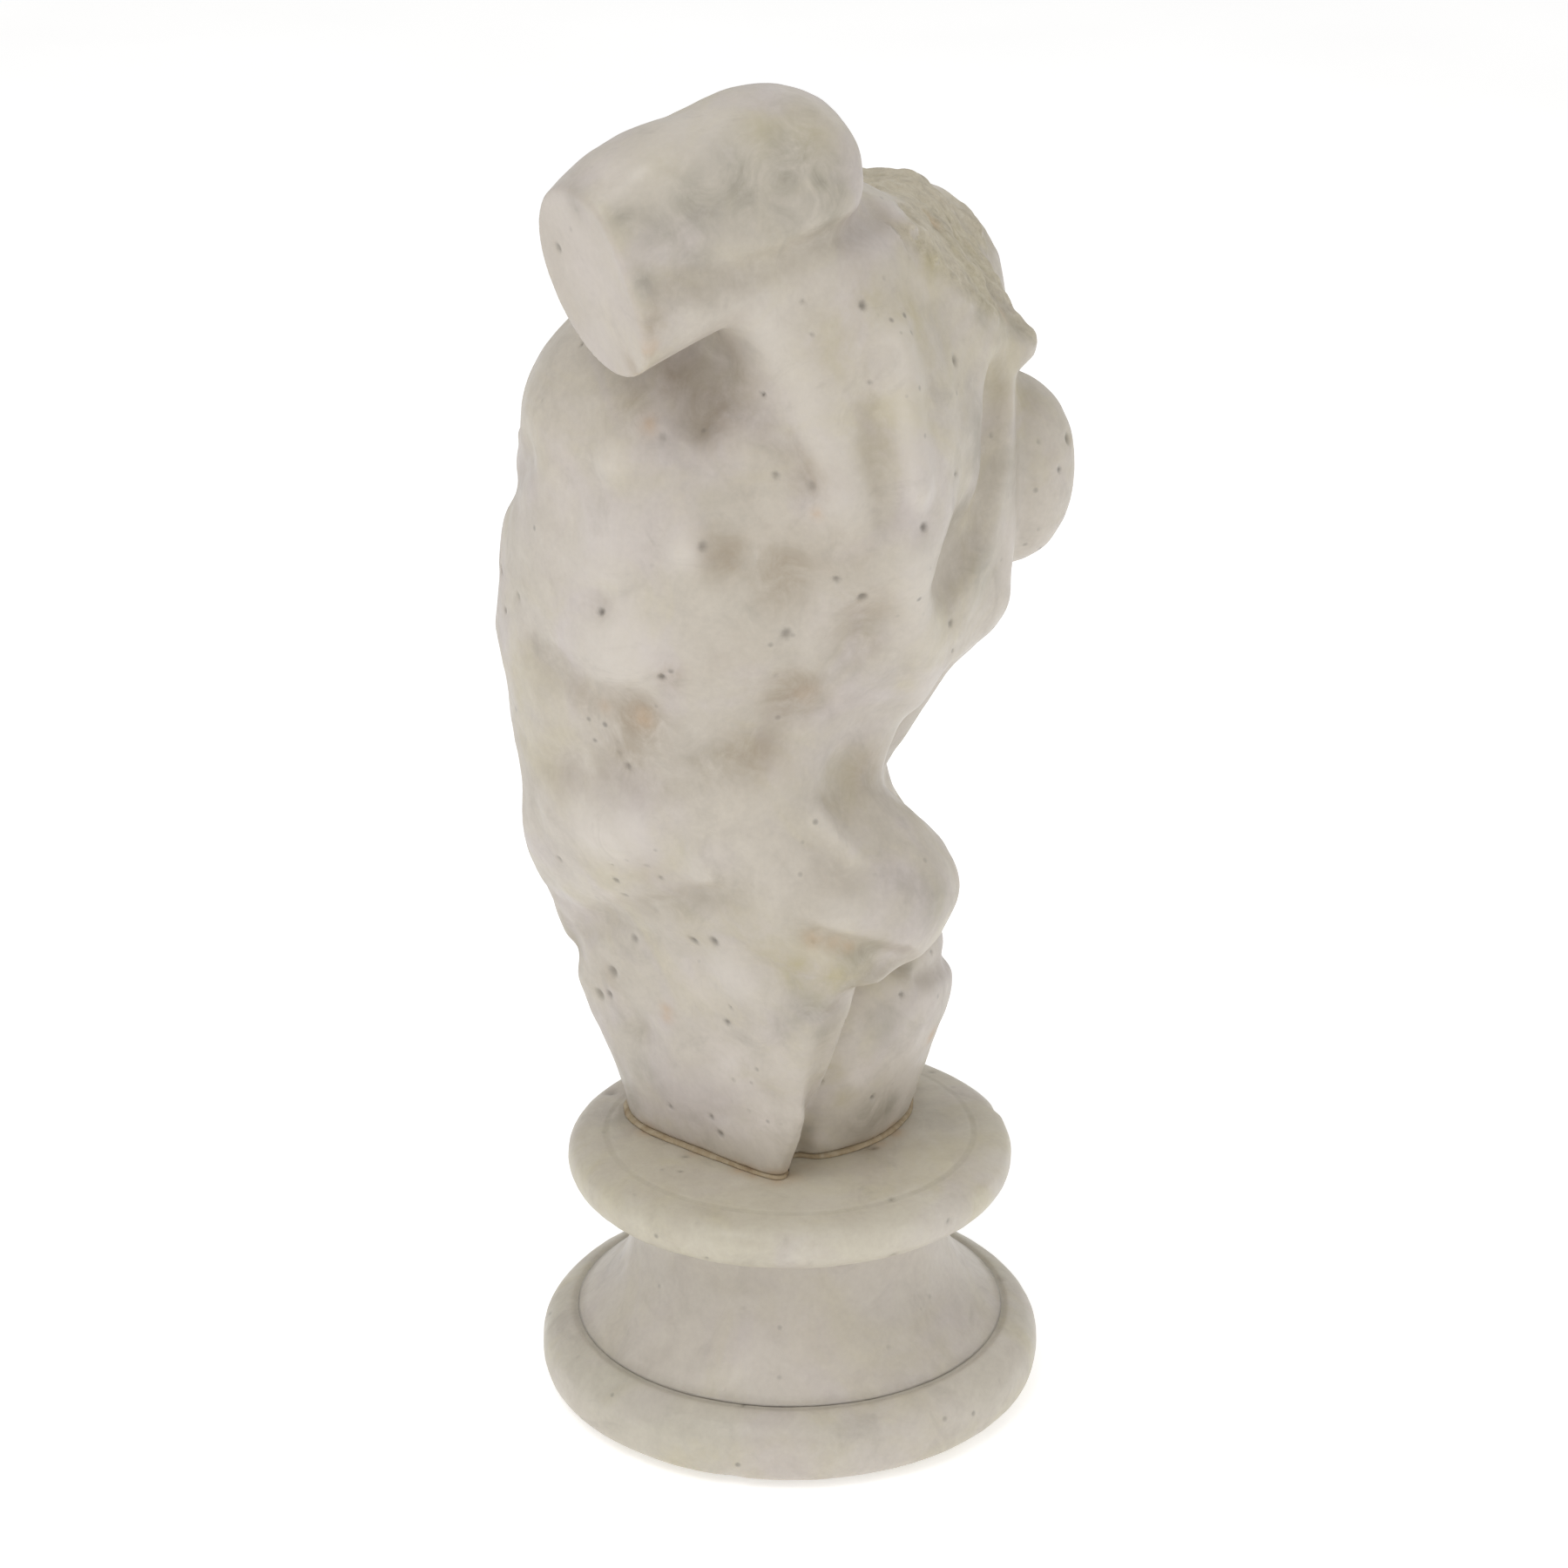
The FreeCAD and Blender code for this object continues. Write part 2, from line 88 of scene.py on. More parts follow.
def vnoise(P, wave, shift=0.0):
    """Smooth value noise in -1..1 with the given wavelength in mm."""
    q = P.astype(np.float32) / wave + shift
    i = np.floor(q).astype(np.int32)
    f = q - i
    f = f * f * (3 - 2 * f)
    i0 = i & 31
    i1 = (i + 1) & 31
    x0, y0, z0 = i0[:, 0], i0[:, 1], i0[:, 2]
    x1, y1, z1 = i1[:, 0], i1[:, 1], i1[:, 2]
    fx, fy, fz = f[:, 0], f[:, 1], f[:, 2]
    a = _LAT[x0, y0, z0] * (1 - fx) + _LAT[x1, y0, z0] * fx
    b = _LAT[x0, y1, z0] * (1 - fx) + _LAT[x1, y1, z0] * fx
    c = _LAT[x0, y0, z1] * (1 - fx) + _LAT[x1, y0, z1] * fx
    d = _LAT[x0, y1, z1] * (1 - fx) + _LAT[x1, y1, z1] * fx
    ab = a * (1 - fy) + b * fy
    cd = c * (1 - fy) + d * fy
    return ab * (1 - fz) + cd * fz


ST=np.array([ # z, cx, cy, a, b, p
 [ 40,  0,-12, 24, 22, 2.3],
 [ 60,  0, -11, 29, 24, 2.3],
 [ 75,  0, -12, 33, 28.5, 2.3],
 [ 88,  0, -12.6, 35, 32.3, 2.25],
 [ 97,  0,-12.8, 37, 34.5, 2.25],
 [107,  0,-14.6, 39, 36.0, 2.2],
 [117,  0,-17, 40, 34, 2.2],
 [127,  0,-18, 40.2, 32.2, 2.2],
 [137,  0,-16.2, 41.5, 35.6, 2.2],
 [147,  0,-14, 43.5, 38.7, 2.2],
 [160,  0, -9.5, 47, 45.5, 2.15],
 [175,  0, -6.5, 50.5, 46, 2.15],
 [190,  0, -4.5, 51.5, 44.5, 2.15],
 [205,  0, -3, 50.5, 41.5, 2.15],
 [220,  0,  1, 46, 34.5, 2.1],
 [231,  0,  7, 38, 25, 2.1],
 [242,  0, 11, 28, 15, 2.1],
 [262,  0, 14, 10,  6, 2.0]],float)

def column(k):
    """Monotone cubic through one column of the station table."""
    z=ST[:,0]; v=ST[:,k]; h=np.diff(z); dl=np.diff(v)/h; m=np.zeros(len(z))
    for i in range(1,len(z)-1):
        if dl[i-1]*dl[i]>0:
            w1=2*h[i]+h[i-1]; w2=h[i]+2*h[i-1]
            m[i]=(w1+w2)/(w1/dl[i-1]+w2/dl[i])
    m[0]=dl[0]; m[-1]=dl[-1]
    def ev(q):
        i=np.clip(np.searchsorted(z,q,side='right')-1,0,len(z)-2)
        t=(q-z[i])/h[i]
        return (2*t**3-3*t*t+1)*v[i]+(t**3-2*t*t+t)*h[i]*m[i]+(-2*t**3+3*t*t)*v[i+1]+(t**3-t*t)*h[i]*m[i+1]
    return ev
ITP=[column(i) for i in range(1,6)]
def trunk(P):
    z=np.clip(P[:,2],40,262)
    cx,cy,a,b,p=[g(z).astype(np.float32) for g in ITP]
    x=np.abs(P[:,0]-cx)/a; y=np.abs(P[:,1]-cy)/b
    k0=(x**p+y**p)**(1/p)
    k0=np.maximum(k0,1e-4)
    g=np.sqrt((x**(p-1)/a)**2+(y**(p-1)/b)**2)*k0**(1-p)
    d=(k0-1)/np.maximum(g,1e-5)
    d=np.where(k0<0.6, np.maximum(d,-np.minimum(a,b)), d)
    top=z-249; 
    return np.maximum(d*0.96,top)
ARM_C=np.array([63.8,-6.8,237.3]); ARM_D=np.array([.816,-.519,-.255]); ARM_D/=np.linalg.norm(ARM_D)
SH=ARM_C-32.5*ARM_D
NECK1_P=(-8,22,238.4); NECK1_N=(-.26,.70,.665)
NECK2_P=(-8,8,240.8); NECK2_N=(-.03,.10,.99)
RCUT_P=(-55.5,-0.5,193.5); RCUT_N=(-.62,-.10,-.78)
SHN=np.array([34.1,11.4,251.6]); ARM_E=ARM_C+0.35*(ARM_C-SHN)
ARM_SIDE=np.array([.558,.822,.117]); ARM_SIDE=ARM_SIDE-ARM_SIDE@ARM_D*ARM_D; ARM_SIDE/=np.linalg.norm(ARM_SIDE)
def base(P):
    P=P.astype(np.float32)
    d=trunk(P)
    # buttocks
    d=smin(d, ell(P,( 12, 12.0,113.3),(24,26.0,13.2)),7)
    d=smin(d, ell(P,(-19, -4,105),(21,22,13)),5)
    # flank running down into the hip, small of the back
    d=smin(d, polyline(P,[(24,-2,144),(22,4,129),(17,11,115)],[20,19,22]),10)
    # wedge cut of the near side below the hip
    lat=plane(P,(17.6,-11.8,53.8),(0.94,-0.24,-0.22))-0.6*np.maximum(P[:,2]-103,0)
    thN=smin(cone(P,(12,-8,96),(5,-9,46),28,19),cone(P,(14,9,99),(12,-3,44),23,18),6)
    # body below the hips keeps inside the side plane
    d=smin(d,thN,8)
    d=smax(d,lat,12)
    rear=plane(P,(23.4,11,55.5),(-.40,.88,-.28))-3.0*np.maximum(P[:,2]-99,0)
    d=smax(d,rear,4)
    Q=P*np.array([0.80,1,1],np.float32)
    thF=cone(Q,(-11*0.80,7,81),(-9*0.80,-2.5,48),20,19)
    d=smin(d,thF,1.5+6*np.clip(-P[:,0]/20,0,1))
    # right shoulder lowered, its arm cut short
    armR=cone(P,(-40,2,213),(-60,-1,187),19,15.5)
    armR=smax(armR,plane(P,RCUT_P,RCUT_N),1.0)
    d=smin(d, ell(P,(-42,3,210),(19,20,24)),12)
    # traps/neck
    neck=cone(P,(-6,14,218),(-8,18,262),24,18)
    d=smin(d,neck,8)
    c1=plane(P,NECK1_P,NECK1_N); c2=plane(P,NECK2_P,NECK2_N)
    d=np.where(P[:,2]>200, smax(smax(d,c1,1.5),c2,2), d)
    d=smin(d,armR,6)
    # shoulder girdle L (raised)
    d=smin(d, ell(P,(20,12,231),(25,18,17)),8)
    arm=cone(P,SHN-np.array([0,0,.6]),ARM_E,15.9,16.8)
    arm=smin(arm,ell(P,0.42*SHN+0.58*ARM_C+np.array([-1.0,-1.5,1.6]),(16.8,16.8,15.4)),9)
    arm=smin(arm,ell(P,SHN+np.array([0.5,-2.0,-1.5]),(16.5,16.5,15.5)),5)
    arm=smax(arm,plane(P,ARM_C,ARM_SIDE)-13.6,5)
    arm=smax(arm,plane(P,ARM_C,ARM_D),1.0)
    d=smin(d,arm,4.5)
    # scapulae
    d=smin(d, ell(P,( 26,27,204),(18,13,27),rot(8,0,-20)),8)
    d=smin(d, ell(P,(-31,30.5,184.5),(13.5,13.2,18.5)),3)
    d=smin(d, ell(P,(18,-21.5,206),(26,16,16)),9)
    d=smin(d, ell(P,(-20,-24,201),(26,16,16)),9)
    # erectors
    d=smin(d, polyline(P,[(9,30,203),(10,29,175),(10,14,140),(11,5,128)],[8,9,8.5,6]),6)
    d=smin(d, polyline(P,[(-10,26,222),(-10,31,203),(-11,30.5,166)],[5,7.0,8.6]),4)
    d=smin(d, ell(P,(-18,35.5,212.5),(7,5.5,5)),3)
    d=smin(d, polyline(P,[(-11,22,158),(-10,12,138),(-11,4,126)],[8,7.5,6]),5)
    return d


STROKES=[  # (relief in mm, width in mm, line of points)
 (-1.3,3.2,[[0.0, -39.0, 214.0], [0.0, -46.0, 200.0], [0.0, -50.0, 186.0]]),
 (-1.2,3,[[0.0, -51.5, 178.0], [0.0, -54.0, 165.0], [0.0, -53.0, 150.0], [0.0, -51.5, 136.0], [0.0, -50.5, 122.0]]),
 (-1.3,3.6,[[-40.0, -36.0, 196.0], [-30.0, -42.5, 186.0], [-16.0, -49.0, 182.0], [0.0, -49.5, 188.0], [16.0, -49.0, 183.0], [30.0, -42.0, 188.0], [40.0, -33.0, 198.0]]),
 (0.9,1.7,[[22.0, -44.0, 196.0]]),
 (0.9,1.7,[[-22.0, -45.0, 192.0]]),
 (-0.8,2.6,[[-16.0, -51.5, 168.0], [-2.0, -53.5, 166.0], [14.0, -52.0, 168.0]]),
 (-0.8,2.6,[[-16.0, -51.5, 152.0], [-2.0, -53.5, 151.0], [14.0, -52.0, 152.0]]),
 (-0.7,2.6,[[-15.0, -50.0, 137.0], [-2.0, -51.5, 136.0], [13.0, -50.5, 137.0]]),
 (0.8,6,[[9.0, -54.0, 160.0]]),
 (0.8,6,[[-10.0, -54.0, 160.0]]),
 (0.8,6,[[9.0, -51.5, 144.0]]),
 (0.8,6,[[-10.0, -51.5, 144.0]]),
 (-2.2,2.2,[[0.0, -50.0, 126.0]]),
 (-1.4,3.4,[[40.0, 7.5, 120.0], [31.0, -19.5, 108.0], [19.0, -37.0, 95.0], [6.0, -43.0, 84.0]]),
 (-1.4,3.4,[[-40.0, -20.0, 120.0], [-31.0, -38.5, 108.0], [-19.0, -43.0, 95.0], [-6.0, -43.0, 84.0]]),
 (-1.1,3,[[17.0, -50.5, 172.0], [19.0, -51.5, 155.0], [18.0, -49.0, 138.0], [16.0, -48.0, 124.0]]),
 (-1.1,3,[[-18.0, -50.5, 172.0], [-20.0, -51.0, 155.0], [-19.0, -48.5, 138.0], [-17.0, -48.0, 124.0]]),
 (-2.6,3.2,[[-1.0, -42.0, 80.0], [-1.0, -38.0, 70.0], [-1.0, -34.5, 58.0]]),
 (1.2,5,[[6.0, -16.0, 232.0], [18.0, -11.0, 234.0], [27.0, -6.0, 236.0]]),
 (1.2,5,[[-16.0, -20.0, 228.0], [-28.0, -21.5, 224.0], [-38.0, -21.0, 220.0]]),
 (-1.6,3,[[-5.0, -22.0, 228.0]]),
 (1.4,4.5,[[-48.0, -22.0, 176.0]]),
 (1.4,4.5,[[-45.0, -26.0, 164.0]]),
 (1.3,4.5,[[-43.0, -24.0, 152.0]]),
 (1.2,4.5,[[-49.0, -14.0, 170.0]]),
 (-1.1,3.4,[[-48.5, -18.0, 170.0], [-45.5, -20.0, 158.0]]),
 (1.3,5,[[-55.5, 18.0, 200.0], [-49.5, 10.0, 182.0], [-47.5, 2.0, 166.0]]),
 (-1.4,4.5,[[-38.0, -30.0, 128.0], [-39.5, -14.0, 126.0], [-35.5, 0.0, 131.0]]),
 (1.3,7,[[-39.5, -18.0, 114.0]]),
 (-1,5,[[-36.5, -4.0, 98.0]]),
 (-1.6,2.4,[[-30.0, 19.5, 84.0], [-18.0, 25.5, 86.0], [-6.0, 25.0, 88.0]]),
 (-2.4,2.6,[[-2.0, 32.5, 116.0], [-2.0, 28.5, 104.0], [-2.0, 22.0, 92.0]]),
 (-1.4,3.5,[[0.0, 27.0, 150.0], [0.0, 19.5, 136.0], [0.0, 27.0, 124.0]]),
 (1.5,7,[[61.0, 3.3, 258.8], [53.7, 7.0, 261.4], [47.7, 10.5, 263.1]]),
 (-2.25,3,[[65.8, 8.0, 239.1], [54.5, 15.3, 238.4], [45.5, 19.9, 239.7], [36.0, 25.3, 242.8], [18.6, 25.7, 243.2]]),
 (-6.3,4.2,[[44.9, 2.3, 222.6], [45.8, 4.9, 220.6]]),
 (-1.8,7,[[46.1, 3.7, 219.5]]),
 (-3.75,3.5,[[46.8, 4.0, 217.4], [48.7, 4.1, 211.7]]),
 (1.8,4.5,[[46.2, 14.6, 230.7], [42.2, 20.9, 219.7], [43.4, 25.5, 209.8], [42.7, 29.4, 199.2]]),
 (-1.35,3,[[46.3, 9.6, 215.6], [45.0, 18.9, 209.4], [44.7, 23.7, 201.4]]),
 (3,3.6,[[29.4, 33.9, 223.4], [32.0, 36.8, 212.8], [32.5, 38.9, 199.2]]),
 (-1.95,3.2,[[37.0, 33.3, 213.7], [37.7, 35.3, 203.2], [36.7, 36.1, 194.9]]),
 (-5.1,4,[[-5.5, 39.1, 208.1], [-2.4, 39.7, 195.1], [2.6, 40.2, 184.3], [12.6, 39.9, 179.0]]),
 (-3.9,7,[[11.7, 40.3, 183.7], [12.7, 39.8, 177.3]]),
 (1.8,4,[[31.5, 37.8, 186.0], [19.9, 35.5, 169.1], [8.8, 29.7, 151.1]]),
 (1.95,3.2,[[50.1, -11.4, 202.6]]),
 (2.25,3.5,[[50.9, 3.5, 188.3]]),
 (-1.5,4.5,[[49.4, 9.3, 188.7]]),
 (1.5,6,[[51.1, -11.1, 191.4], [50.7, -13.1, 183.0]]),
 (2.7,8,[[48.7, -10.7, 166.8]]),
 (-2.1,5,[[46.3, -9.0, 155.2], [46.0, -8.3, 151.8]]),
 (-1.2,5,[[45.5, -18.2, 155.9]]),
 (-1.95,5,[[42.7, -16.4, 137.5], [45.1, -2.7, 141.9], [43.1, 6.8, 146.6], [38.8, 13.4, 149.8]]),
 (1.5,7,[[39.9, -19.8, 128.2], [41.7, -13.4, 131.7]]),
 (2.1,6,[[40.8, -15.4, 129.3]]),
 (1.35,2.6,[[41.2, 1.3, 126.3], [40.3, 1.4, 122.6]]),
 (-1.5,6,[[43.6, -17.6, 143.6], [39.8, -28.7, 138.7]]),
 (-1.5,5.5,[[44.5, 19.5, 184.9], [43.6, 19.9, 180.7]]),
 (-1.8,5,[[32.6, 29.2, 171.4], [32.3, 28.3, 167.8]]),
 (-2.25,5,[[38.0, 18.5, 159.2]]),
 (-1.35,5,[[32.7, 24.1, 124.6]]),
 (-1.95,5,[[24.0, 21.3, 139.7], [25.9, 21.3, 136.9]]),
 (1.5,2.4,[[30.5, 20.3, 134.0], [29.4, 25.5, 127.0]]),
 (-1.5,3,[[50.2, -13.6, 176.3]]),
 (-1.5,4,[[42.0, -32.3, 162.7], [44.4, -25.8, 159.4]]),
 (-2.7,2.4,[[37.9, 20.8, 113.6], [32.9, 29.0, 110.0], [24.6, 33.2, 105.2]]),
 (1.5,4,[[34.3, 26.9, 117.9]]),
 (1.8,5,[[32.0, 2.9, 102.0], [31.3, 4.4, 97.6]]),
 (-1.2,4,[[20.8, -22.2, 78.9]]),
 (-2.4,2.4,[[21.4, 33.6, 103.0], [29.3, 30.0, 104.5], [29.0, 23.3, 93.2], [25.5, 18.2, 78.1], [12.8, 7.5, 55.3]]),
]

# small rust stains: x, y, z, radius
RUST=[
 (34.8,21.1,111.9,2.0),(33.5,24,111.2,1.8),(31.9,26.2,110.1,1.5),(24.5,-14.4,86.1,1.5),
 (24.1,-14.5,84.4,1.4),(19.6,8.8,53.1,2.6),(21.8,7,52.5,2.2),(13.9,9.9,50.4,2.4),
 (21.3,2.2,52.5,1.8),(49.5,-4.3,209.8,1.8),(67.9,5.9,229,1.6),(-12.6,37.5,219.6,2),
 (45,-8.8,153.1,2.4),(36.4,20,158.4,1.8),(45.1,-16.6,153.6,1.5),(-11.3,25.4,72.8,2),
 (44,25.8,196,1.2),(23.7,-9.9,37.7,1.4),(13.5,-24.3,52.7,2),(18,-11.6,52.7,1.6),
 (20.8,-0.9,52.5,1.8),(-0.8,18.1,51.8,2.2),(-6.3,19.5,53,2),(-35.7,-35.7,120,2.2),
 (22,-50.6,160,1.6),(-38.2,8.5,150,2),(-12.8,16,120,2.4),(9.6,-48,190,1.8),
 (-48.7,-18.7,175,1.6),(-9.1,23.8,236,2.2),
]
PITS=[
 # first three: the deep armpit hole, whose dark colour in the material is painted shade
 (45.4,2.7,221.8,2.6,3.2),
 (45.5,4.8,221.4,2.2,2.4),
 (45.9,3.6,220.2,2,1.8),
 (44.5,24.4,200.9,0.9,0.8),(43,28.7,202.6,0.9,0.7),(50,-13.3,174.2,0.9,0.6),(40,-36.4,170.7,0.8,0.5),
 (42.6,19.1,172.6,1,0.8),(35.7,9.7,116.6,1.1,0.9),(39.7,-29.3,136.4,1.2,0.8),(27.7,7.8,126.4,1,0.7),
 (18.1,-32.6,82.8,1.2,1),(22.1,-27.4,90.4,1.2,1),(32.3,-4.7,105.2,1,0.6),(26.3,-20.4,100.2,0.9,0.6),
 (16.9,-39.7,93,0.9,0.6),(53.7,15.7,238.6,1,0.7),(65.7,7.9,240.3,1,0.7),(37,35.9,195.3,0.9,0.7),
 (30,39.5,191.4,0.9,0.6),(36.2,30.7,179.2,0.9,0.7),(30.3,31,171.7,0.9,0.6),(59.6,-15.7,241.9,0.9,0.5),
 (42.9,-14.7,144.5,0.8,0.5),(47.6,-3,163.2,0.9,0.6),(27.6,11.2,135.5,0.9,0.6),(24.4,15.8,124.8,0.8,0.4),
 (31.9,26.4,114.7,0.8,0.5),(38.7,-10.7,122.4,0.8,0.4),(32.9,28.9,230.6,0.9,0.5),(58.2,13,237.9,0.8,0.4),
 (44.1,20.1,184.9,0.8,0.5),(43.9,21.7,187.5,0.6,0.4),(42.6,22.8,184,0.6,0.5),(40.2,27.5,183.2,0.7,0.4),
 (45.7,18.4,202.5,0.7,0.4),(49.2,-11.6,169,0.7,0.4),(41.2,0.6,147.4,0.8,0.4),(44.9,-20.6,154.9,0.9,0.4),
 (36.4,-18.7,116.6,0.7,0.3),(36.3,-2.9,123.7,0.6,0.3),(29.6,16.9,122.1,0.8,0.4),(37.9,-8.4,119.9,0.7,0.3),
 (39.8,-19.9,127.3,0.6,0.2),(42.3,-12.9,142.2,0.8,0.4),(24.8,-0.9,45,0.8,0.3),(36.4,21.2,160.2,0.8,0.6),
 (39.1,17.4,159.7,0.6,0.5),(36.3,19.8,158,0.6,0.4),(37.7,19.4,160,0.6,0.5),(37.4,19.3,159.2,0.6,0.6),
 (35.8,20.9,158.9,0.7,0.5),(39.2,18.9,162.6,0.6,0.5),(37.1,20.2,160.3,0.7,0.5),(39.6,15.9,158.7,0.7,0.5),
 (38.1,16.1,156.5,0.7,0.6),(37.3,19.9,159.8,0.6,0.6),(41.2,16.5,163.5,0.7,0.6),(38.2,19.1,160.6,0.7,0.6),
 (37.8,18.6,159,0.6,0.5),(39.4,16.2,158.7,0.8,0.7),(37.1,17.9,156.9,0.8,0.4),(39.8,18.6,163.6,0.7,0.5),
 (39.2,18.3,161.5,0.6,0.5),(44.5,20,186.5,0.5,0.5),(43.2,20.5,180.3,0.5,0.5),(43.1,21.1,182,0.6,0.5),
 (44.5,20.3,187.9,0.6,0.4),(43.7,21.5,185.9,0.5,0.4),(43.8,19.7,180.7,0.6,0.4),(42.9,21.5,182.1,0.5,0.4),
 (44.6,19,183.9,0.6,0.4),(44.3,19.8,184.9,0.6,0.3),(43.9,21.6,187.1,0.5,0.5),(-26.2,-24.9,64,0.7,0.5),
 (28.2,0.3,87.9,0.8,0.3),(16.9,39.9,185.3,0.5,0.4),(-44.9,-21.1,155.3,0.8,0.6),(-30.4,-15.6,65.9,0.9,0.5),
 (17.8,-17,62.1,0.7,0.4),(32.6,-32.9,116.7,0.8,0.5),(20.5,-5.1,59.9,0.8,0.4),(-58,-11.9,211.3,0.8,0.3),
 (33.7,0.6,107.1,1.2,0.5),(-32.3,13.1,70.6,0.6,0.3),(-4.5,29.7,152.7,0.7,0.3),(37.9,-18.3,120.7,0.5,0.5),
 (-32.2,-21.2,76.9,0.5,0.4),(39.9,2.7,146.8,0.6,0.4),(-31.9,42.6,191.1,1.1,0.8),(-17.3,18.7,108.9,0.7,0.4),
 (16.7,-16.7,230.3,0.6,0.4),(2.8,-15.1,233,0.7,0.4),(34.2,-18,112.5,0.7,0.3),(-30.5,-43.6,139.8,0.5,0.4),
 (-46.1,-24.6,169.4,0.7,0.3),(-43.8,-27.1,160.8,0.6,0.4),(49.9,-1.3,207.9,0.8,0.5),(29.5,-45,172.4,0.7,0.4),
 (11.3,37.5,216.5,1,0.6),(9.9,-47.9,191.4,0.8,0.4),(41,21,232.4,0.8,0.7),(27.6,22.2,122,0.6,0.5),
 (-22,13.3,116.2,0.9,0.8),(13.7,16.3,86.3,0.8,0.3),(-34,-10,81.9,0.6,0.3),(-20.8,-48.9,121.4,0.6,0.3),
 (19.8,-29.2,84.4,0.8,0.5),(-11.6,-38.6,74.2,0.5,0.3),(-54.3,-8.5,224,0.5,0.5),(14.5,-50.8,126.9,0.8,0.5),
 (-14.6,13.8,128.6,0.8,0.5),(-35.3,3.3,75.3,0.6,0.4),(-36,-24.6,100.1,0.6,0.4),(41.9,-18.9,142.4,0.9,0.8),
 (43.9,15.4,216.1,0.5,0.4),(13.5,-43.8,204.4,1.1,0.5),(40.5,22.7,226.6,0.7,0.4),(29,-39.1,206.5,0.5,0.4),
 (49.9,6.7,189.1,1,0.7),(-33.8,-0.7,77.1,0.5,0.5),(0.5,23.5,86.5,0.7,0.4),(-10,-48.4,103.3,0.5,0.4),
 (23.6,28.3,121.1,0.5,0.3),(6.9,34.4,106.8,0.8,0.3),(-40.7,30.7,172.1,0.6,0.5),(42.2,23.7,184.1,0.6,0.5),
 (-23.8,19.6,146.7,0.6,0.4),(44.9,3.1,222.1,0.5,0.4),(-29.1,-41.6,200.8,0.6,0.3),(-4.4,-41.2,77.9,0.8,0.3),
 (35.3,21.4,158.8,0.8,0.5),(29.4,1.8,92,0.6,0.4),(31.6,-43.4,172.4,0.8,0.5),(-9.1,-21.2,228.1,1.2,0.6),
 (30.7,10.6,139.2,0.7,0.3),(36.3,31.9,218.2,0.5,0.3),(29.2,24.1,96.4,0.5,0.4),(-16.2,-42.2,208.2,0.9,0.6),
 (-19.5,10.9,126.4,0.6,0.3),(-38.5,-36.6,181.4,0.7,0.4),(-3.9,19.2,123,0.8,0.4),(-32.7,-21.4,80,0.6,0.3),
 (12.2,11.8,71.1,0.7,0.4),(-34.6,7.6,72,0.8,0.5),(12.8,-21.3,227.9,0.5,0.3),(-12.4,-53.5,158.9,0.6,0.3),
 (-27.1,42.7,186.4,0.7,0.3),(-20,22.2,233.2,1,0.7),(41.3,21.3,228.7,0.6,0.5),(3.6,-40.3,211.8,1,0.6),
 (3.4,19.2,65,0.6,0.5),(-25.4,-48.2,161.4,0.8,0.3),(34.2,-41.8,165.5,0.5,0.5),(-9.8,-54.1,153,0.7,0.5),
 (8.3,36.1,161.2,0.5,0.4),(20.8,-6.7,63.4,0.7,0.3),(-38.4,-36.8,182.3,0.8,0.3),(38.3,-22.4,218.9,0.5,0.4),
 (3.8,-42.8,81.9,0.9,0.6),(-26.6,-46.4,135.2,0.9,0.5),(8.7,-52.7,134.3,0.5,0.3),(30.5,-44.2,174.6,0.5,0.4),
 (33.3,-12.9,109.7,1.1,0.6),(-13.5,-51.1,129.8,1.1,0.7),(-26.8,-33,81.3,0.8,0.3),(12.3,37.7,167.7,0.8,0.4),
 (-37.6,-33.8,137.6,0.5,0.3),(-55.5,3.2,227.7,0.8,0.5),(19.3,41,198.3,0.6,0.4),(-32.8,-24.2,87,1,0.6),
 (49.2,9.4,194.7,0.5,0.4),(-45.4,-18.1,219,1.1,0.5),(-41.9,15,163.8,0.7,0.3),(-31.2,13,103.1,0.5,0.3),
 (-34,12.9,85.5,0.7,0.4),(-34.2,-38.4,131.1,0.9,0.6),(16,-48.7,183.4,0.8,0.8),(-38,-18,102.9,0.7,0.4),
 (37.8,-0.4,137.5,0.5,0.5),(-12.5,24.4,90.2,0.5,0.4),(-11.3,18.9,101.8,0.7,0.3),(19.2,-17.5,69,0.5,0.4),
 (-42.6,-23.9,213.6,0.9,0.6),
]
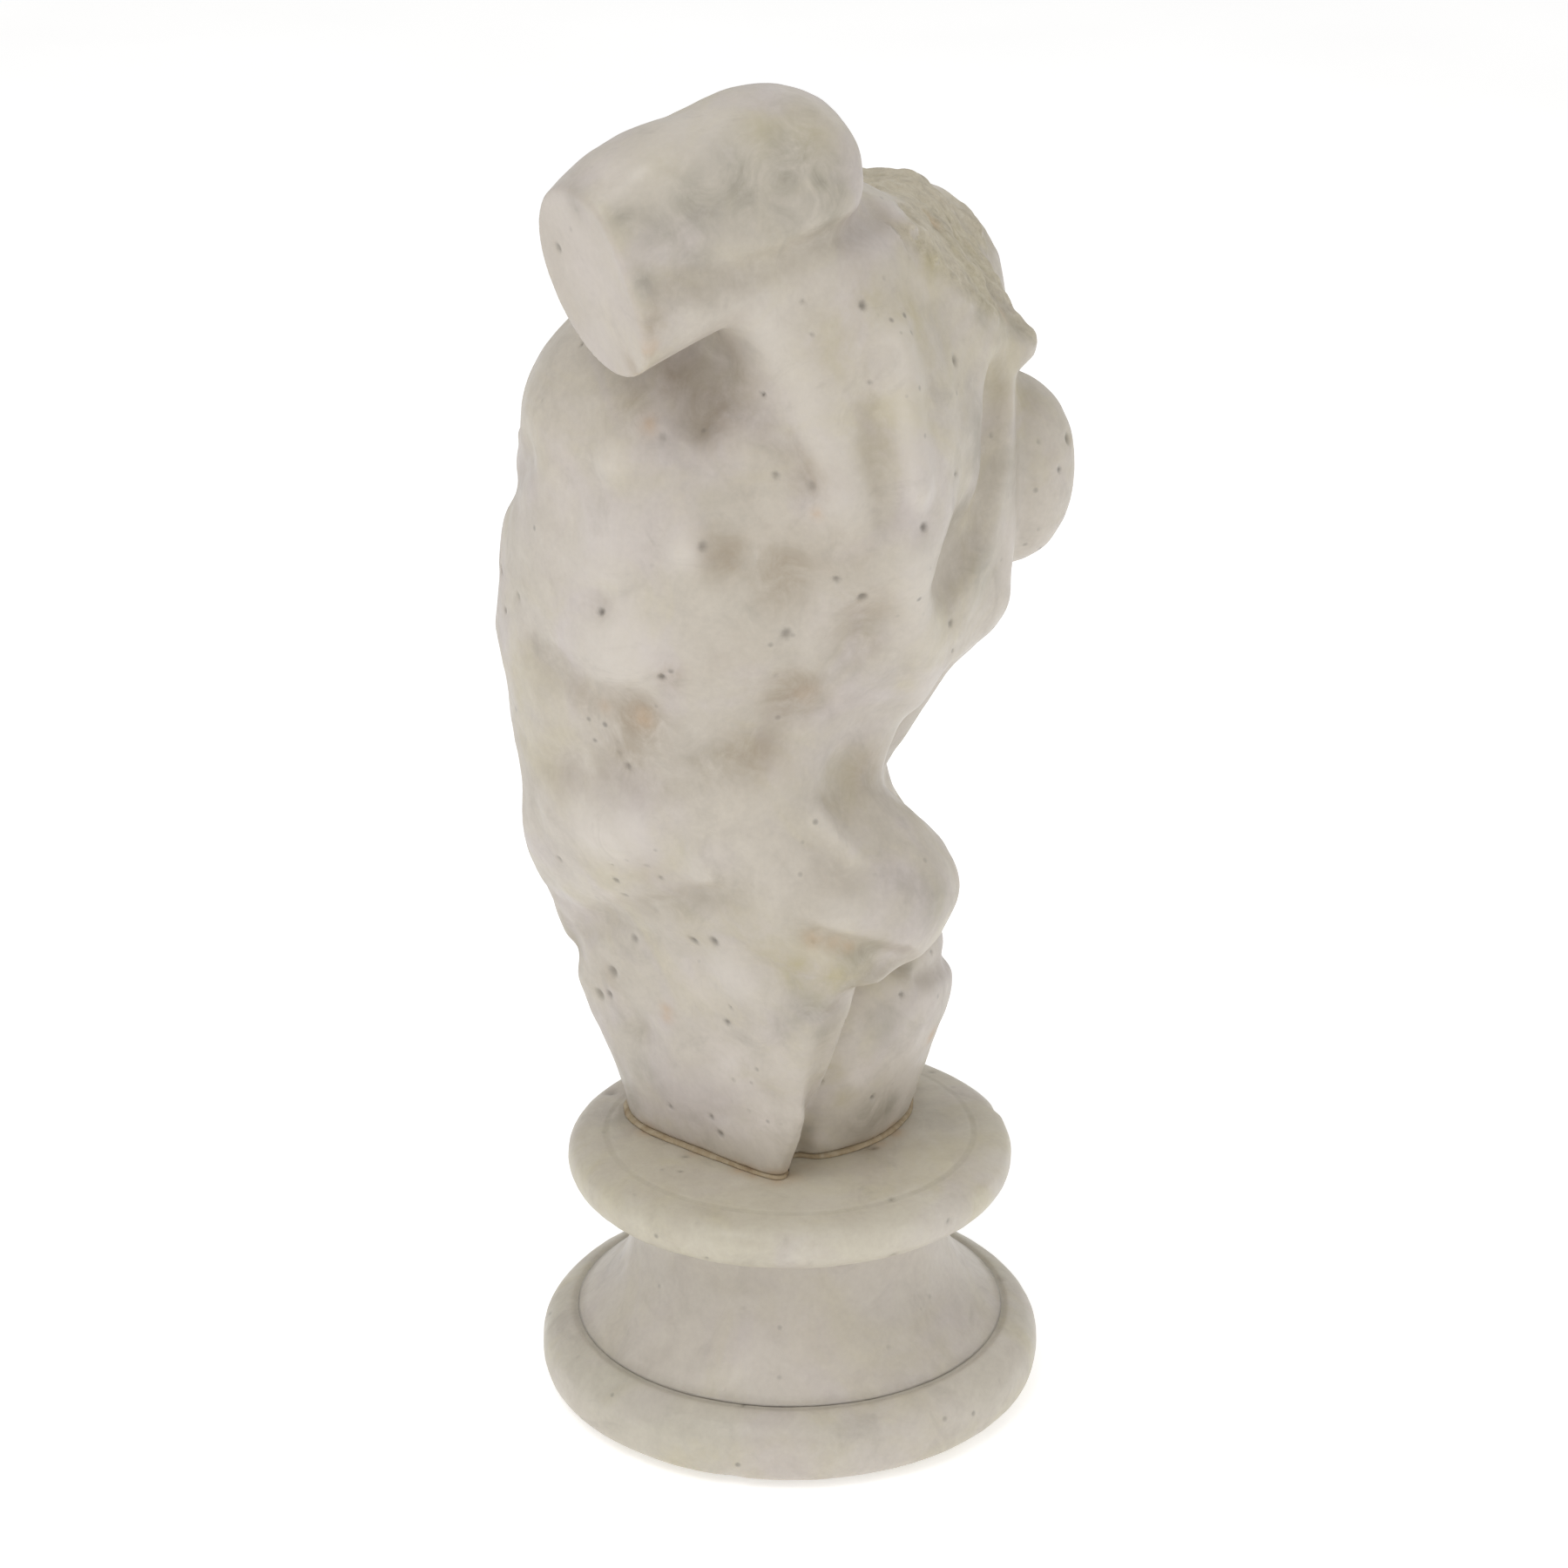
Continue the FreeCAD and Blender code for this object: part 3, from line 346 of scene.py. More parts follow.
# broad stains, with painted shade and highlight among the grey and pale spots: x, y, z, radius, strength
TINT_OLIVE=[
 (46.4,15.5,261.4,5,0.8),(38.8,21.6,261.2,5,0.7),(60.8,4.9,258.2,4,0.5),(11.1,32.5,233.7,5,0.8),
 (-9.5,30.7,228.8,5,0.9),(24.1,34.9,224.6,7,0.8),(30.7,29.5,231.7,6,0.5),(32.9,36.4,213,5,0.7),
 (38.6,26.6,224.1,7,0.5),(37.9,34.6,206.4,6,0.4),(33.3,10.8,143.8,4,0.6),(19.1,18.2,137.4,6,0.8),
 (6.1,26.8,123.7,6,0.6),(33.2,17.7,104.5,7,0.9),(31.6,24.1,105.1,6,1),(35.4,11.7,109.5,7,0.6),
 (36.2,6.8,114.1,7,0.4),(33.9,-3.3,107.9,6,0.4),(11.4,14.2,72.9,3,0.7),(9.3,15.1,66.7,3,0.6),
 (-24.8,25.9,40.1,5,0.8),(-5.1,23,37,4,0.7),(-10.6,24.4,30.8,4,0.6),(-17,34.7,43.7,5,0.5),
 (24.2,0.7,34.6,6,0.4),(13.3,-34.3,-13,7,0.5),(19.4,-11.5,-16,8,0.4),(12.9,14.3,-7,6,0.4),
 (-29.8,28.7,-14.1,6,0.5),(-30.6,35.9,-2.5,6,0.5),(9.7,-44.1,-5,5,0.6),(1.1,19.5,93.1,8.3,0.4),
 (-32.7,8.5,62.7,4,0.9),(14.8,-52.3,141.5,8.1,0.3),(-22.8,35.4,199.6,5.1,0.9),(-39.5,-13,122.6,6.3,0.3),
 (-11.5,-48,102.9,6.6,0.4),(-12,-48.9,185.5,5.3,0.7),(-11.4,19.9,135.8,4.5,0.5),(-10.6,18.6,101.6,6.1,0.4),
 (8.7,-53.2,164.4,8.7,0.6),(12.8,-52.3,166.2,8,0.7),(-20.4,21.3,65.7,7.1,0.5),(-40.8,-24,138.3,8.4,0.4),
 (-3.1,-23.2,227.2,7.8,0.6),(-39.3,-14,108.8,8.4,0.8),(-55.1,12.3,224.6,5.7,0.8),(-19.9,15.7,113.3,8.5,0.9),
 (-25.9,-45.6,127.3,5.3,0.8),(-44.6,19.7,185.2,7,0.3),(-22.8,-36.2,80.9,5.5,0.5),(-8.3,38.7,208.1,4.9,0.7),
 (-20.6,24.9,230.1,6.1,0.6),(4,-53.8,163.9,8.8,0.6),(2.3,-40.9,76.3,8.8,0.5),
]
TINT_BROWN=[
 (68.1,6.6,233.6,2.6,0.9),(64.6,0.6,224.5,2.4,0.9),(48.1,-7.1,213.2,5,0.7),(47.5,7.7,213.3,7,0.7),
 (47.2,-0.8,216.9,4,0.7),(45,11.4,219.3,5,0.4),(45,-9.7,152.9,6,1),(43.2,-12.4,146,5,0.7),
 (47.6,-2.1,163.3,4,0.7),(45.1,-20.1,155.5,4,0.5),(37.7,18.9,159.1,6,1),(44.4,19.4,184.1,6,0.8),
 (44.5,24.4,202.2,5,0.7),(34.7,30.1,176.2,6,0.7),(31.8,28.9,168.6,4,0.6),(36.7,8.9,147.2,6,0.8),
 (48.9,10.7,187.4,5,0.8),(45.1,20.6,194,8,0.3),(41.6,28.1,187.7,8,0.4),(46.7,15.5,200.1,8,0.2),
 (45.2,11.3,167,8,0.2),(38.2,-12.7,120.1,5,0.3),(40,-28.6,137.1,4,0.4),(27.3,7.9,126.6,6,0.3),
 (15.9,21.2,138.5,5,0.7),(20.8,-28.6,86.9,4,0.5),(2.5,16.8,54.5,3,0.7),(23.7,-8.9,41.7,6,0.3),
 (1.9,18.4,59.5,6.3,0.7),(-32.9,11.8,107.8,7.6,0.5),(-19.9,14.3,134,6.7,0.5),(-67,-3.1,203.1,7.7,0.5),
 (-15.1,24.8,147.3,7.6,0.6),(7.8,-42.7,83.8,6.7,0.5),(-7.7,-45.3,201,8.8,0.4),(-7.9,-19.6,229.5,8.1,0.9),
 (-32.3,-21,78.6,4.5,0.3),
]
TINT_GREY=[
 # first spots: painted shade along the end of the cleft and the fold between the thighs
 (-4.2,23.6,90.7,1.8,1),
 (25.5,31.9,103,1.8,1),
 (28.3,29.6,101.9,2,1),
 (29.9,26.5,99.6,2,1),
 (29,24,94.2,2,1),
 (27.6,21.6,87.8,1.8,1),
 (25.7,19,80.2,1.6,0.9),
 (22.9,15.9,72.5,1.5,0.8),
 (12.3,9.3,59.6,1.4,0.7),
 # these rows: grey-green stain together with painted shade on the flat side of the raised arm
 (59.1,10.4,252.6,7,0.9),(51.4,14.7,255.8,8,0.9),(44.7,19.5,256.3,7,1),(39,24.2,251.9,6,1),
 (65,6.9,249.1,6,0.7),(45.9,20.1,247.8,6,0.6),(37.5,25.2,244.9,5,0.7),(60.5,11,244.1,5,0.5),
 (67.7,-7.9,251.8,3,0.8),(69.4,1.9,251,3,0.8),(68.9,5.5,241,3,0.8),(-0.8,37.7,223.6,4,0.9),
 (-10.9,24.9,234.3,5,0.7),(12.4,40.5,187.2,6,0.9),(0.8,39.4,173.7,5,0.7),(41.9,1,149.4,5,0.4),
 (17.7,37.1,114.2,5,0.5),(29.4,28.3,107.6,4,0.9),(31.4,18.7,95.1,5,0.9),(29,21.2,89.2,3,1),
 (18.1,-22.8,68.3,5,0.6),(19.5,-25.7,77.7,5,0.4),(2.4,18.5,60.5,5,1),(-1.9,20.3,60.8,4,0.9),
 (9.5,-35.1,54.4,6,0.8),(12.8,-29.4,60.9,5,0.7),(-16.5,25.4,51.5,9,0.4),(23.8,4.2,8.2,6,0.3),
 (2.1,19.1,-19.8,7,0.3),(19.7,-19.2,-9.8,5,0.3),(-4.1,-43.8,206.4,4.5,0.8),(-28.2,6.3,129.1,8.2,0.7),
 (2.7,-52.4,128.9,5.8,0.8),(5.9,39.6,200.5,8.2,0.7),(-14.9,18.5,135.7,5.6,0.6),(4.2,22.7,82.1,4.4,0.6),
 (-42.9,-33.3,198.2,6.3,0.7),(0.5,-49.5,187.8,6.5,0.6),(-13.1,39.1,191.5,7.4,0.6),(-28.1,-24.8,221.9,8.1,0.4),
 (-32.8,-7.9,75.7,5.8,0.6),(-23.1,-41.4,97.8,7.9,0.8),(-1.9,13.9,98.6,6.4,0.6),(-40.3,38.4,177.6,6.4,0.3),
 (-29.8,-7.5,233,4.9,0.4),(-36,-3,124.7,6.3,0.9),(-34.3,-0.5,72.5,4.3,0.7),(-14.2,36,220.8,8.7,0.3),
]
TINT_PALE=[
 # first spots: pale stone together with painted highlight on the far thigh below the buttocks
 (3.6,22.5,86,6,1),
 (-3.8,24.9,74.1,5,0.9),
 (7.9,18.1,72.2,5,0.9),
 (-4.7,26.2,83.3,4,0.8),
 (10.5,11.1,57,3,0.6),
 (28.2,11.9,79.8,6,0.6),
 (3.9,19.3,48.1,9,0.5),
 (-19,26.1,58.3,6,0.5),
 # first two spots here: painted highlight along the top of the raised arm
 (64.7,-2.8,256.8,5,0.7),(48.9,5.5,263.2,5,0.6),(66,-5.7,242.1,9,0.6),(16,33,230.2,4,0.7),
 (-10.6,39.2,205.2,5,0.6),(39.7,-18.1,126.7,7,1),(49.3,-8.9,168.6,7,0.7),(48.1,-21.2,194,8,0.5),
 (50,-11.4,203,3,0.8),(50.8,4,188.6,3.4,1),(35.7,-1.4,122.9,3,0.8),(47.8,-23.4,180.7,8,0.4),
 (32.4,-22.2,110.9,5,0.6),(19.2,19.2,125.5,2.6,0.9),(31.1,26.4,116.6,4,0.7),(26.1,-0,78.3,9,0.9),
 (24.2,4.5,65.5,8,1),(28.6,-6,94.5,7,0.6),(25,-9.8,83.2,7,0.4),(2.4,23.9,80.3,6,0.5),
 (16.8,-31.6,41.1,6,0.4),(22.8,16.7,47,8,0.4),(18.5,-19.4,17.4,9,0.4),(27.6,11.6,17.8,12,0.5),
 (-9,23.5,13.6,9,0.3),(-9.2,23.8,-16.6,6,0.5),(24.5,0.7,-2.2,5,0.5),(-11,-43,86,7.2,0.3),
 (12.8,-45.6,197.6,4.1,0.9),(-45.8,16.2,179.6,6.4,0.6),(3.3,19.8,135.4,7.7,0.3),(-13.4,39,175.5,7.1,0.8),
 (-13.1,-40.2,79.1,6.8,0.5),(-13.2,34.3,223.4,5.9,0.3),(-2.4,-11.1,236,5.2,0.3),(-5.8,21.8,63.4,8.4,0.6),
 (-36.5,-23.7,101.2,7.8,0.8),(-50.9,-7.3,181.2,6.8,0.7),(-9.3,-46.5,97.5,5.7,0.5),(-16.2,16.3,115.1,8.1,0.6),
 (-21.9,37.6,208.8,4.9,0.5),(-33.9,-12.8,82,7.5,0.9),(-13.9,38.8,170.7,6.9,0.6),(-40,-4.6,103.2,6.8,0.7),
 (-20.7,-46.7,109,6,0.7),(-39.3,24.4,171.6,4.8,0.5),
]
UT=-1.16
WORLD=0.58
LIGHTS=(("key",(0.7,-0.4,0.85),0.9,0.45,2.1),("fill_left",(0.9,-0.7,0.1),1.0,0.8,0.5),
        ("fill_right",(0.75,0.85,0.3),1.1,0.8,1.5),("back_rim",(-0.8,0.4,0.9),1.0,0.8,0.9))

def stroke_dist(Q,pts):
    q=None
    if len(pts)==1: return np.linalg.norm(Q-pts[0],axis=1)
    for i in range(len(pts)-1):
        ab=pts[i+1]-pts[i]; t=np.clip(((Q-pts[i])@ab)/(ab@ab),0,1)
        e=np.linalg.norm(Q-pts[i]-t[:,None]*ab,axis=1)
        q=e if q is None else np.minimum(q,e)
    return q

def relief(P):
    """Height added to or taken from the base form by the worked strokes."""
    P=np.asarray(P,np.float32)
    add=np.zeros(len(P),np.float32)
    for a,w,p in STROKES:
        pts=np.array(p,np.float32); lo=pts.min(0)-2.6*w; hi=pts.max(0)+2.6*w
        m=np.all((P>lo)&(P<hi),1)
        if m.any():
            q=stroke_dist(P[m],pts)
            add[m]+=a*np.exp(-(q/w)**2)
    return add

def base_and_strokes(P):
    P=np.asarray(P,np.float32)
    return base(P)-relief(P)

def local_mask(P,spots):
    out=np.zeros(len(P))
    for s in spots:
        c=np.array(s[:3]); r=s[3]
        m=np.all(np.abs(P-c)<2.6*r,1)
        if m.any():
            q=((P[m]-c)**2).sum(1)/(r*r)
            out[m]=np.maximum(out[m],np.exp(-q)*(s[4] if len(s)>4 else 1.0))
    return out

def pit_mask(P): return np.clip(local_mask(P,[p[:4] for p in PITS])*1.25-0.2,0,1)
def spot_mask(P,S): return local_mask(P,S)

def fine(P):
    """Full surface: form, relief strokes, hand-worked unevenness, break and pits."""
    P=np.asarray(P,np.float32)
    d=base_and_strokes(P)
    near=np.abs(d)<4
    Q=P[near]
    if len(Q):
        u=0.45*vnoise(Q,17,1.0)+0.27*vnoise(Q,8,2.0)+0.12*vnoise(Q,3.6,3.0)+0.04*vnoise(Q,1.8,4.0)
        # keep the sawn arm end flat
        cut=np.clip(1-np.abs(plane(Q,ARM_C,ARM_D))/2.0,0,1)*(np.linalg.norm(Q-ARM_C,axis=1)<24)
        u=u*(1-0.85*cut)
        nb=np.maximum(plane(Q,NECK1_P,NECK1_N),plane(Q,NECK2_P,NECK2_N))
        br=np.clip(1.5-np.abs(nb)/2.2,0,1)*(Q[:,2]>205)*(Q[:,0]<17)
        u=u+br*(0.75*vnoise(Q,6.5,5.0)+0.5*vnoise(Q,3.0,6.0)+0.22*vnoise(Q,1.5,7.0)-0.3)
        dd=d[near]-u.astype(np.float32)
        for s in PITS:
            c=np.array(s[:3]); r=s[3]
            m=np.all(np.abs(Q-c)<2.4*r,1)
            if m.any():
                q=((Q[m]-c)**2).sum(1)/(r*r)
                dd[m]+=s[4]*np.exp(-q)
        d=d.copy(); d[near]=dd
    return d


# ---- surface-net mesher ------------------------------------------------------
def sample(fn, lo, hi, h, c=4):
    lo = np.array(lo, float)
    hi = np.array(hi, float)
    n = np.ceil((hi - lo) / h).astype(int) + 1
    xs = [(lo[i] + h * np.arange(n[i])).astype(np.float32) for i in range(3)]
    nc = np.ceil((n - 1) / c).astype(int) + 1
    xc = [(lo[i] + h * c * np.arange(nc[i])).astype(np.float32) for i in range(3)]
    G = np.stack(np.meshgrid(*xc, indexing='ij'), -1).reshape(-1, 3)
    B = 300000
    V = np.concatenate([fn(G[i:i + B]) for i in range(0, len(G), B)]).reshape(nc)
    full = [np.minimum(np.round(np.arange(n[i]) / c).astype(int), nc[i] - 1) for i in range(3)]
    F = V[np.ix_(*full)].astype(np.float32)
    near = np.abs(V) < h * c * 2.0 + 1.0
    N = near.copy()
    for ax in range(3):
        N |= np.roll(near, -1, ax)
        N |= np.roll(near, 1, ax)
    M = N[np.ix_(*full)]
    idx = np.argwhere(M)
    P = np.stack([xs[i][idx[:, i]] for i in range(3)], 1)
    vals = np.concatenate([fn(P[i:i + B]) for i in range(0, len(P), B)])
    F[idx[:, 0], idx[:, 1], idx[:, 2]] = vals
    return F, lo, h


def surface_net(F, lo, h):
    nx, ny, nz = F.shape
    S = F < 0
    cell_n = (nx - 1) * (ny - 1) * (nz - 1)

    def cid(i, j, k):
        return (i * (ny - 1) + j) * (nz - 1) + k
    acc = {}
    ids_all, pos_all, quads = [], [], []
    for ax in range(3):
        sl0 = [slice(None)] * 3
        sl1 = [slice(None)] * 3
        sl0[ax] = slice(0, -1)
        sl1[ax] = slice(1, None)
        A = S[tuple(sl0)]
        Bm = S[tuple(sl1)]
        e = np.argwhere(A != Bm)
        o = [a for a in range(3) if a != ax]
        ok = (e[:, o[0]] > 0) & (e[:, o[1]] > 0) & (e[:, o[0]] < F.shape[o[0]] - 1) & (e[:, o[1]] < F.shape[o[1]] - 1)
        e = e[ok]
        f0 = F[tuple(e.T)]
        e1 = e.copy()
        e1[:, ax] += 1
        f1 = F[tuple(e1.T)]
        t = f0 / (f0 - f1)
        p = e.astype(np.float64)
        p[:, ax] += t
        cells = []
        for da, db in ((0, 0), (1, 0), (1, 1), (0, 1)):
            c = e.copy()
            c[:, o[0]] -= da
            c[:, o[1]] -= db
            q = cid(c[:, 0], c[:, 1], c[:, 2])
            cells.append(q)
            ids_all.append(q)
            pos_all.append(p)
        q = np.stack(cells, 1)
        inside_low = S[tuple(e.T)]
        flip = inside_low if ax != 1 else ~inside_low
        q[flip] = q[flip][:, ::-1]
        quads.append(q)
    ids = np.concatenate(ids_all)
    pos = np.concatenate(pos_all)
    Q = np.concatenate(quads)
    uniq, inv = np.unique(ids, return_inverse=True)
    cnt = np.bincount(inv)
    V = np.stack([np.bincount(inv, weights=pos[:, k]) / cnt for k in range(3)], 1)
    Q = np.searchsorted(uniq, Q)
    return V * h + lo, Q


def gradient(fn, P, e=0.25):
    g = np.zeros((len(P), 3))
    for k in range(3):
        d = np.zeros(3)
        d[k] = e
        g[:, k] = (fn(P + d) - fn(P - d)) / (2 * e)
    return g


def settle(fn, V, steps=2, cap=0.35):
    """Pull net vertices onto the exact surface."""
    for _ in range(steps):
        f = fn(V)
        g = gradient(fn, V)
        m = (g ** 2).sum(1)
        s = np.clip(f / np.maximum(m, 0.15), -cap, cap)
        V = V - g * s[:, None]
    return V


def make_mesh(name, V, faces, smooth=True):
    """faces: (n, 3|4) array.  V in mm."""
    me = bpy.data.meshes.new(name)
    V = np.ascontiguousarray(V * MM, dtype=np.float32)
    faces = np.ascontiguousarray(faces, dtype=np.int32)
    n, k = faces.shape
    me.vertices.add(len(V))
    me.vertices.foreach_set("co", V.ravel())
    me.loops.add(n * k)
    me.loops.foreach_set("vertex_index", faces.ravel())
    me.polygons.add(n)
    me.polygons.foreach_set("loop_start", np.arange(0, n * k, k, dtype=np.int32))
    me.polygons.foreach_set("use_smooth", np.full(n, smooth, dtype=bool))
    me.update(calc_edges=True)
    me.validate()
    ob = bpy.data.objects.new(name, me)
    bpy.context.scene.collection.objects.link(ob)
    return ob


def add_attr(ob, name, values):
    a = ob.data.attributes.new(name, 'FLOAT', 'POINT')
    a.data.foreach_set("value", np.ascontiguousarray(values, dtype=np.float32))


# ---- torso mesh ---------------------------------------------------------------
TORSO_Z0 = float(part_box("torso")[0][2]) / MM
CAP_TOP = float(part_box("socle_cap")[1][2]) / MM


def torso_f(P):
    P = np.asarray(P, np.float32)
    d = smax(fine(P), TORSO_Z0 + 0.02 - P[:, 2], 0.5)
    # blind holes for the grouted rod and for the locating pin
    rod_hole = np.maximum(np.hypot(P[:, 0], P[:, 1]) - 5.0, P[:, 2] - 95.0)
    pin_hole = np.maximum(np.hypot(P[:, 0] + 15.0, P[:, 1] + 17.0) - 1.7, P[:, 2] - 62.2)
    return np.maximum(d, -np.minimum(rod_hole, pin_hole))


F, lo, h = sample(torso_f, (-80, -64, TORSO_Z0 - 2.2), (80, 54, 272), STEP)
V, Q = surface_net(F, lo, h)
V = settle(torso_f, V, 2)
V[:, 2] = np.maximum(V[:, 2], TORSO_Z0)
torso = make_mesh("marble_torso", V, Q)
print("torso quads", len(Q))


def occlusion(fn, V, N, reach):
    ao = np.zeros(len(V))
    for s, w in reach:
        d = fn(V + N * s)
        ao += w * np.clip((s - d) / s, 0, 1)
    return np.clip(ao, 0, 1)


def with_floor(P):
    """Torso together with the socle's top disc, for painted contact shade and grime at the joint."""
    r = np.hypot(P[:, 0], P[:, 1])
    top = np.maximum(P[:, 2] - CAP_TOP, r - 43.0)
    return np.minimum(base_and_strokes(P), top)


G = gradient(torso_f, V)
NRM = G / np.maximum(np.linalg.norm(G, axis=1), 1e-6)[:, None]
# occlusion in folds and hollows, painted into the stone's colour as shade together with crease dirt
crease = occlusion(base_and_strokes, V, NRM, ((1.2, 0.35), (2.6, 0.35), (5.0, 0.3)))
# occlusion against the socle top, painted near the torso's base as contact shade together with dirt
joint = occlusion(with_floor, V, NRM, ((2.0, 0.5), (4.5, 0.5)))
low = np.clip(1 - (V[:, 2] - CAP_TOP) / 7.0, 0, 1)
add_attr(torso, "crease", np.clip(crease * 1.0 + 0.0, 0, 1))
add_attr(torso, "joint", np.clip(joint * low * 1.4, 0, 1))
add_attr(torso, "pit", pit_mask(V))
add_attr(torso, "rust", spot_mask(V, RUST))
TINTS = (("olive", TINT_OLIVE), ("brown", TINT_BROWN), ("grey", TINT_GREY), ("pale", TINT_PALE))
for nm, S in TINTS:
    add_attr(torso, nm, spot_mask(V, S))
lift = relief(V)
# raised strokes get a painted highlight, sunken strokes painted shade
add_attr(torso, "ridge", np.clip(lift / 1.6, 0, 1))
add_attr(torso, "hollow", np.clip(-lift / 1.6, 0, 1))
add_attr(torso, "cutface", np.clip(1 - np.abs(plane(V, ARM_C, ARM_D)) / 0.9, 0, 1)
         * (np.linalg.norm(V - ARM_C, axis=1) < 24))
c1 = plane(V, NECK1_P, NECK1_N)
c2 = plane(V, NECK2_P, NECK2_N)
add_attr(torso, "broken", np.clip(1.4 - np.abs(np.maximum(c1, c2)) / 1.6, 0, 1)
         * (V[:, 2] > 205) * (NRM[:, 2] > 0.12) * (V[:, 0] < 17))


# ---- turned socle pieces --------------------------------------------------------
def catmull(pts, n):
    """Smooth curve through (r, z) points."""
    p = np.array(pts, float)
    d = np.linalg.norm(np.diff(p, axis=0), axis=1) ** 0.5
    t = np.concatenate([[0], np.cumsum(d)])
    m = np.zeros_like(p)
    m[1:-1] = ((p[2:] - p[1:-1]) / (t[2:] - t[1:-1])[:, None] * (t[1:-1] - t[:-2])[:, None]
               + (p[1:-1] - p[:-2]) / (t[1:-1] - t[:-2])[:, None] * (t[2:] - t[1:-1])[:, None]) \
        / (t[2:] - t[:-2])[:, None]
    m[0] = (p[1] - p[0]) / (t[1] - t[0])
    m[-1] = (p[-1] - p[-2]) / (t[-1] - t[-2])
    u = np.linspace(0, t[-1], n)
    i = np.clip(np.searchsorted(t, u, side='right') - 1, 0, len(p) - 2)
    hh = (t[i + 1] - t[i])
    s = (u - t[i]) / hh
    a = 2 * s ** 3 - 3 * s ** 2 + 1
    b = s ** 3 - 2 * s ** 2 + s
    c = -2 * s ** 3 + 3 * s ** 2
    e = s ** 3 - s ** 2
    return a[:, None] * p[i] + (b * hh)[:, None] * m[i] + c[:, None] * p[i + 1] + (e * hh)[:, None] * m[i + 1]


def resample(path, step):
    d = np.linalg.norm(np.diff(path, axis=0), axis=1)
    t = np.concatenate([[0], np.cumsum(d)])
    n = max(int(round(t[-1] / step)), 2)
    u = np.linspace(0, t[-1], n + 1)
    return np.stack([np.interp(u, t, path[:, k]) for k in range(2)], 1)


def turned_mesh(name, segments, seed, wob=0.12, chips=(), pits=30, axis_close=False):
    """Lathe of a closed (r, z) path made of smooth or straight segments, with
    slight hand-turned wobble, pits and small edge losses."""
    step = 0.75
    path = []
    for seg in segments:
        if len(seg) == 2:
            q = np.array(seg, float)
            q = resample(q, 6.0 if seg[0][0] < 30 else step)
        else:
            q = resample(catmull(seg, 400), step)
        path.append(q[:-1])
    path = np.concatenate(path)
    m = len(path)
    n = 420
    th = np.arange(n) * 2 * np.pi / n
    R = path[:, 0][None, :].repeat(n, 0)
    Z = path[:, 1][None, :].repeat(n, 0)
    X = R * np.cos(th)[:, None]
    Y = R * np.sin(th)[:, None]
    V = np.stack([X, Y, Z], -1).reshape(-1, 3)
    # outward direction of the path in the (r, z) plane
    d = np.roll(path, -1, 0) - np.roll(path, 1, 0)
    d /= np.maximum(np.linalg.norm(d, axis=1), 1e-9)[:, None]
    nr, nz = d[:, 1], -d[:, 0]
    N = np.stack([nr[None, :] * np.cos(th)[:, None], nr[None, :] * np.sin(th)[:, None],
                  np.broadcast_to(nz[None, :], (n, m))], -1).reshape(-1, 3)
    outer = np.clip((np.hypot(V[:, 0], V[:, 1]) - 12) / 6, 0, 1)
    disp = -np.abs(vnoise(V, 26, seed) * wob) - 0.10 * np.abs(vnoise(V, 7.5, seed + 3)) \
        + 0.035 * vnoise(V, 2.6, seed + 5) - 0.035
    rng = np.random.RandomState(int(seed * 10))
    pit = np.zeros(len(V))
    pool = np.where(outer > 0.9)[0]
    for k in range(pits):
        c = V[pool[rng.randint(len(pool))]]
        rad = rng.uniform(0.4, 0.8) if rng.rand() < 0.9 else rng.uniform(0.8, 1.3)
        q = ((V - c) ** 2).sum(1)
        g = np.exp(-q / rad ** 2)
        disp -= g * rad * 0.45
        pit = np.maximum(pit, g * (0.6 if rng.rand() < 0.5 else 0.15))
    for (ang, rr, zz, rad, dep) in chips:
        c = np.array([rr * math.cos(ang), rr * math.sin(ang), zz])
        q = np.linalg.norm(V - c, axis=1) / rad
        disp -= dep * np.clip(1 - q ** 2, 0, 1) * (1 + 0.5 * vnoise(V, 2.2, seed + 9))
    V = V + N * (np.minimum(disp, 0.0) * outer)[:, None]
    i = np.arange(n)[:, None]
    j = np.arange(m)[None, :]
    i1 = (i + 1) % n
    j1 = (j + 1) % m
    quads = np.stack([i * m + j + 0 * j1, i1 * m + j, i1 * m + j1, i * m + j1], -1).reshape(-1, 4)
    ob = make_mesh(name, V, quads)
    add_attr(ob, "pit", pit)
    return ob, V, N


B = {n: np.array(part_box(n)) / MM for n in ("socle_cap", "socle_waist", "socle_foot", "torso_bed", "felt_pad")}
zc0, zc1 = B["socle_cap"][0][2], B["socle_cap"][1][2]
zw0, zw1 = B["socle_waist"][0][2], B["socle_waist"][1][2]
zf0, zf1 = B["socle_foot"][0][2], B["socle_foot"][1][2]
HOLE = 3.5

cap, Vc, Nc = turned_mesh("socle_cap_turned", [
    [(HOLE, zc0), (31.6, zc0)],
    [(31.6, zc0), (33.6, zc0 + 0.03), (38.9, zc0 + 0.55), (42.3, zc0 + 1.95), (43.55, zc0 + 3.9),
     (43.88, zc0 + 6.1), (43.3, zc0 + 8.15), (41.6, zc0 + 9.55), (39.4, zc0 + 10.15), (37.2, zc0 + 10.34),
     (36.4, zc0 + 10.36), (35.9, zc0 + 10.52), (35.2, zc1)],
    [(35.2, zc1), (HOLE, zc1)],
    [(HOLE, zc1), (HOLE, zc0)]], 3.1,
    chips=((2.3, 43.6, zc0 + 8.0, 3.0, 0.35), (-0.5, 43.9, zc0 + 5.0, 3.6, 0.25), (0.45, 42.6, zc0 + 8.9, 3.4, 0.4),
           (4.1, 43.2, zc0 + 8.2, 2.6, 0.4)))
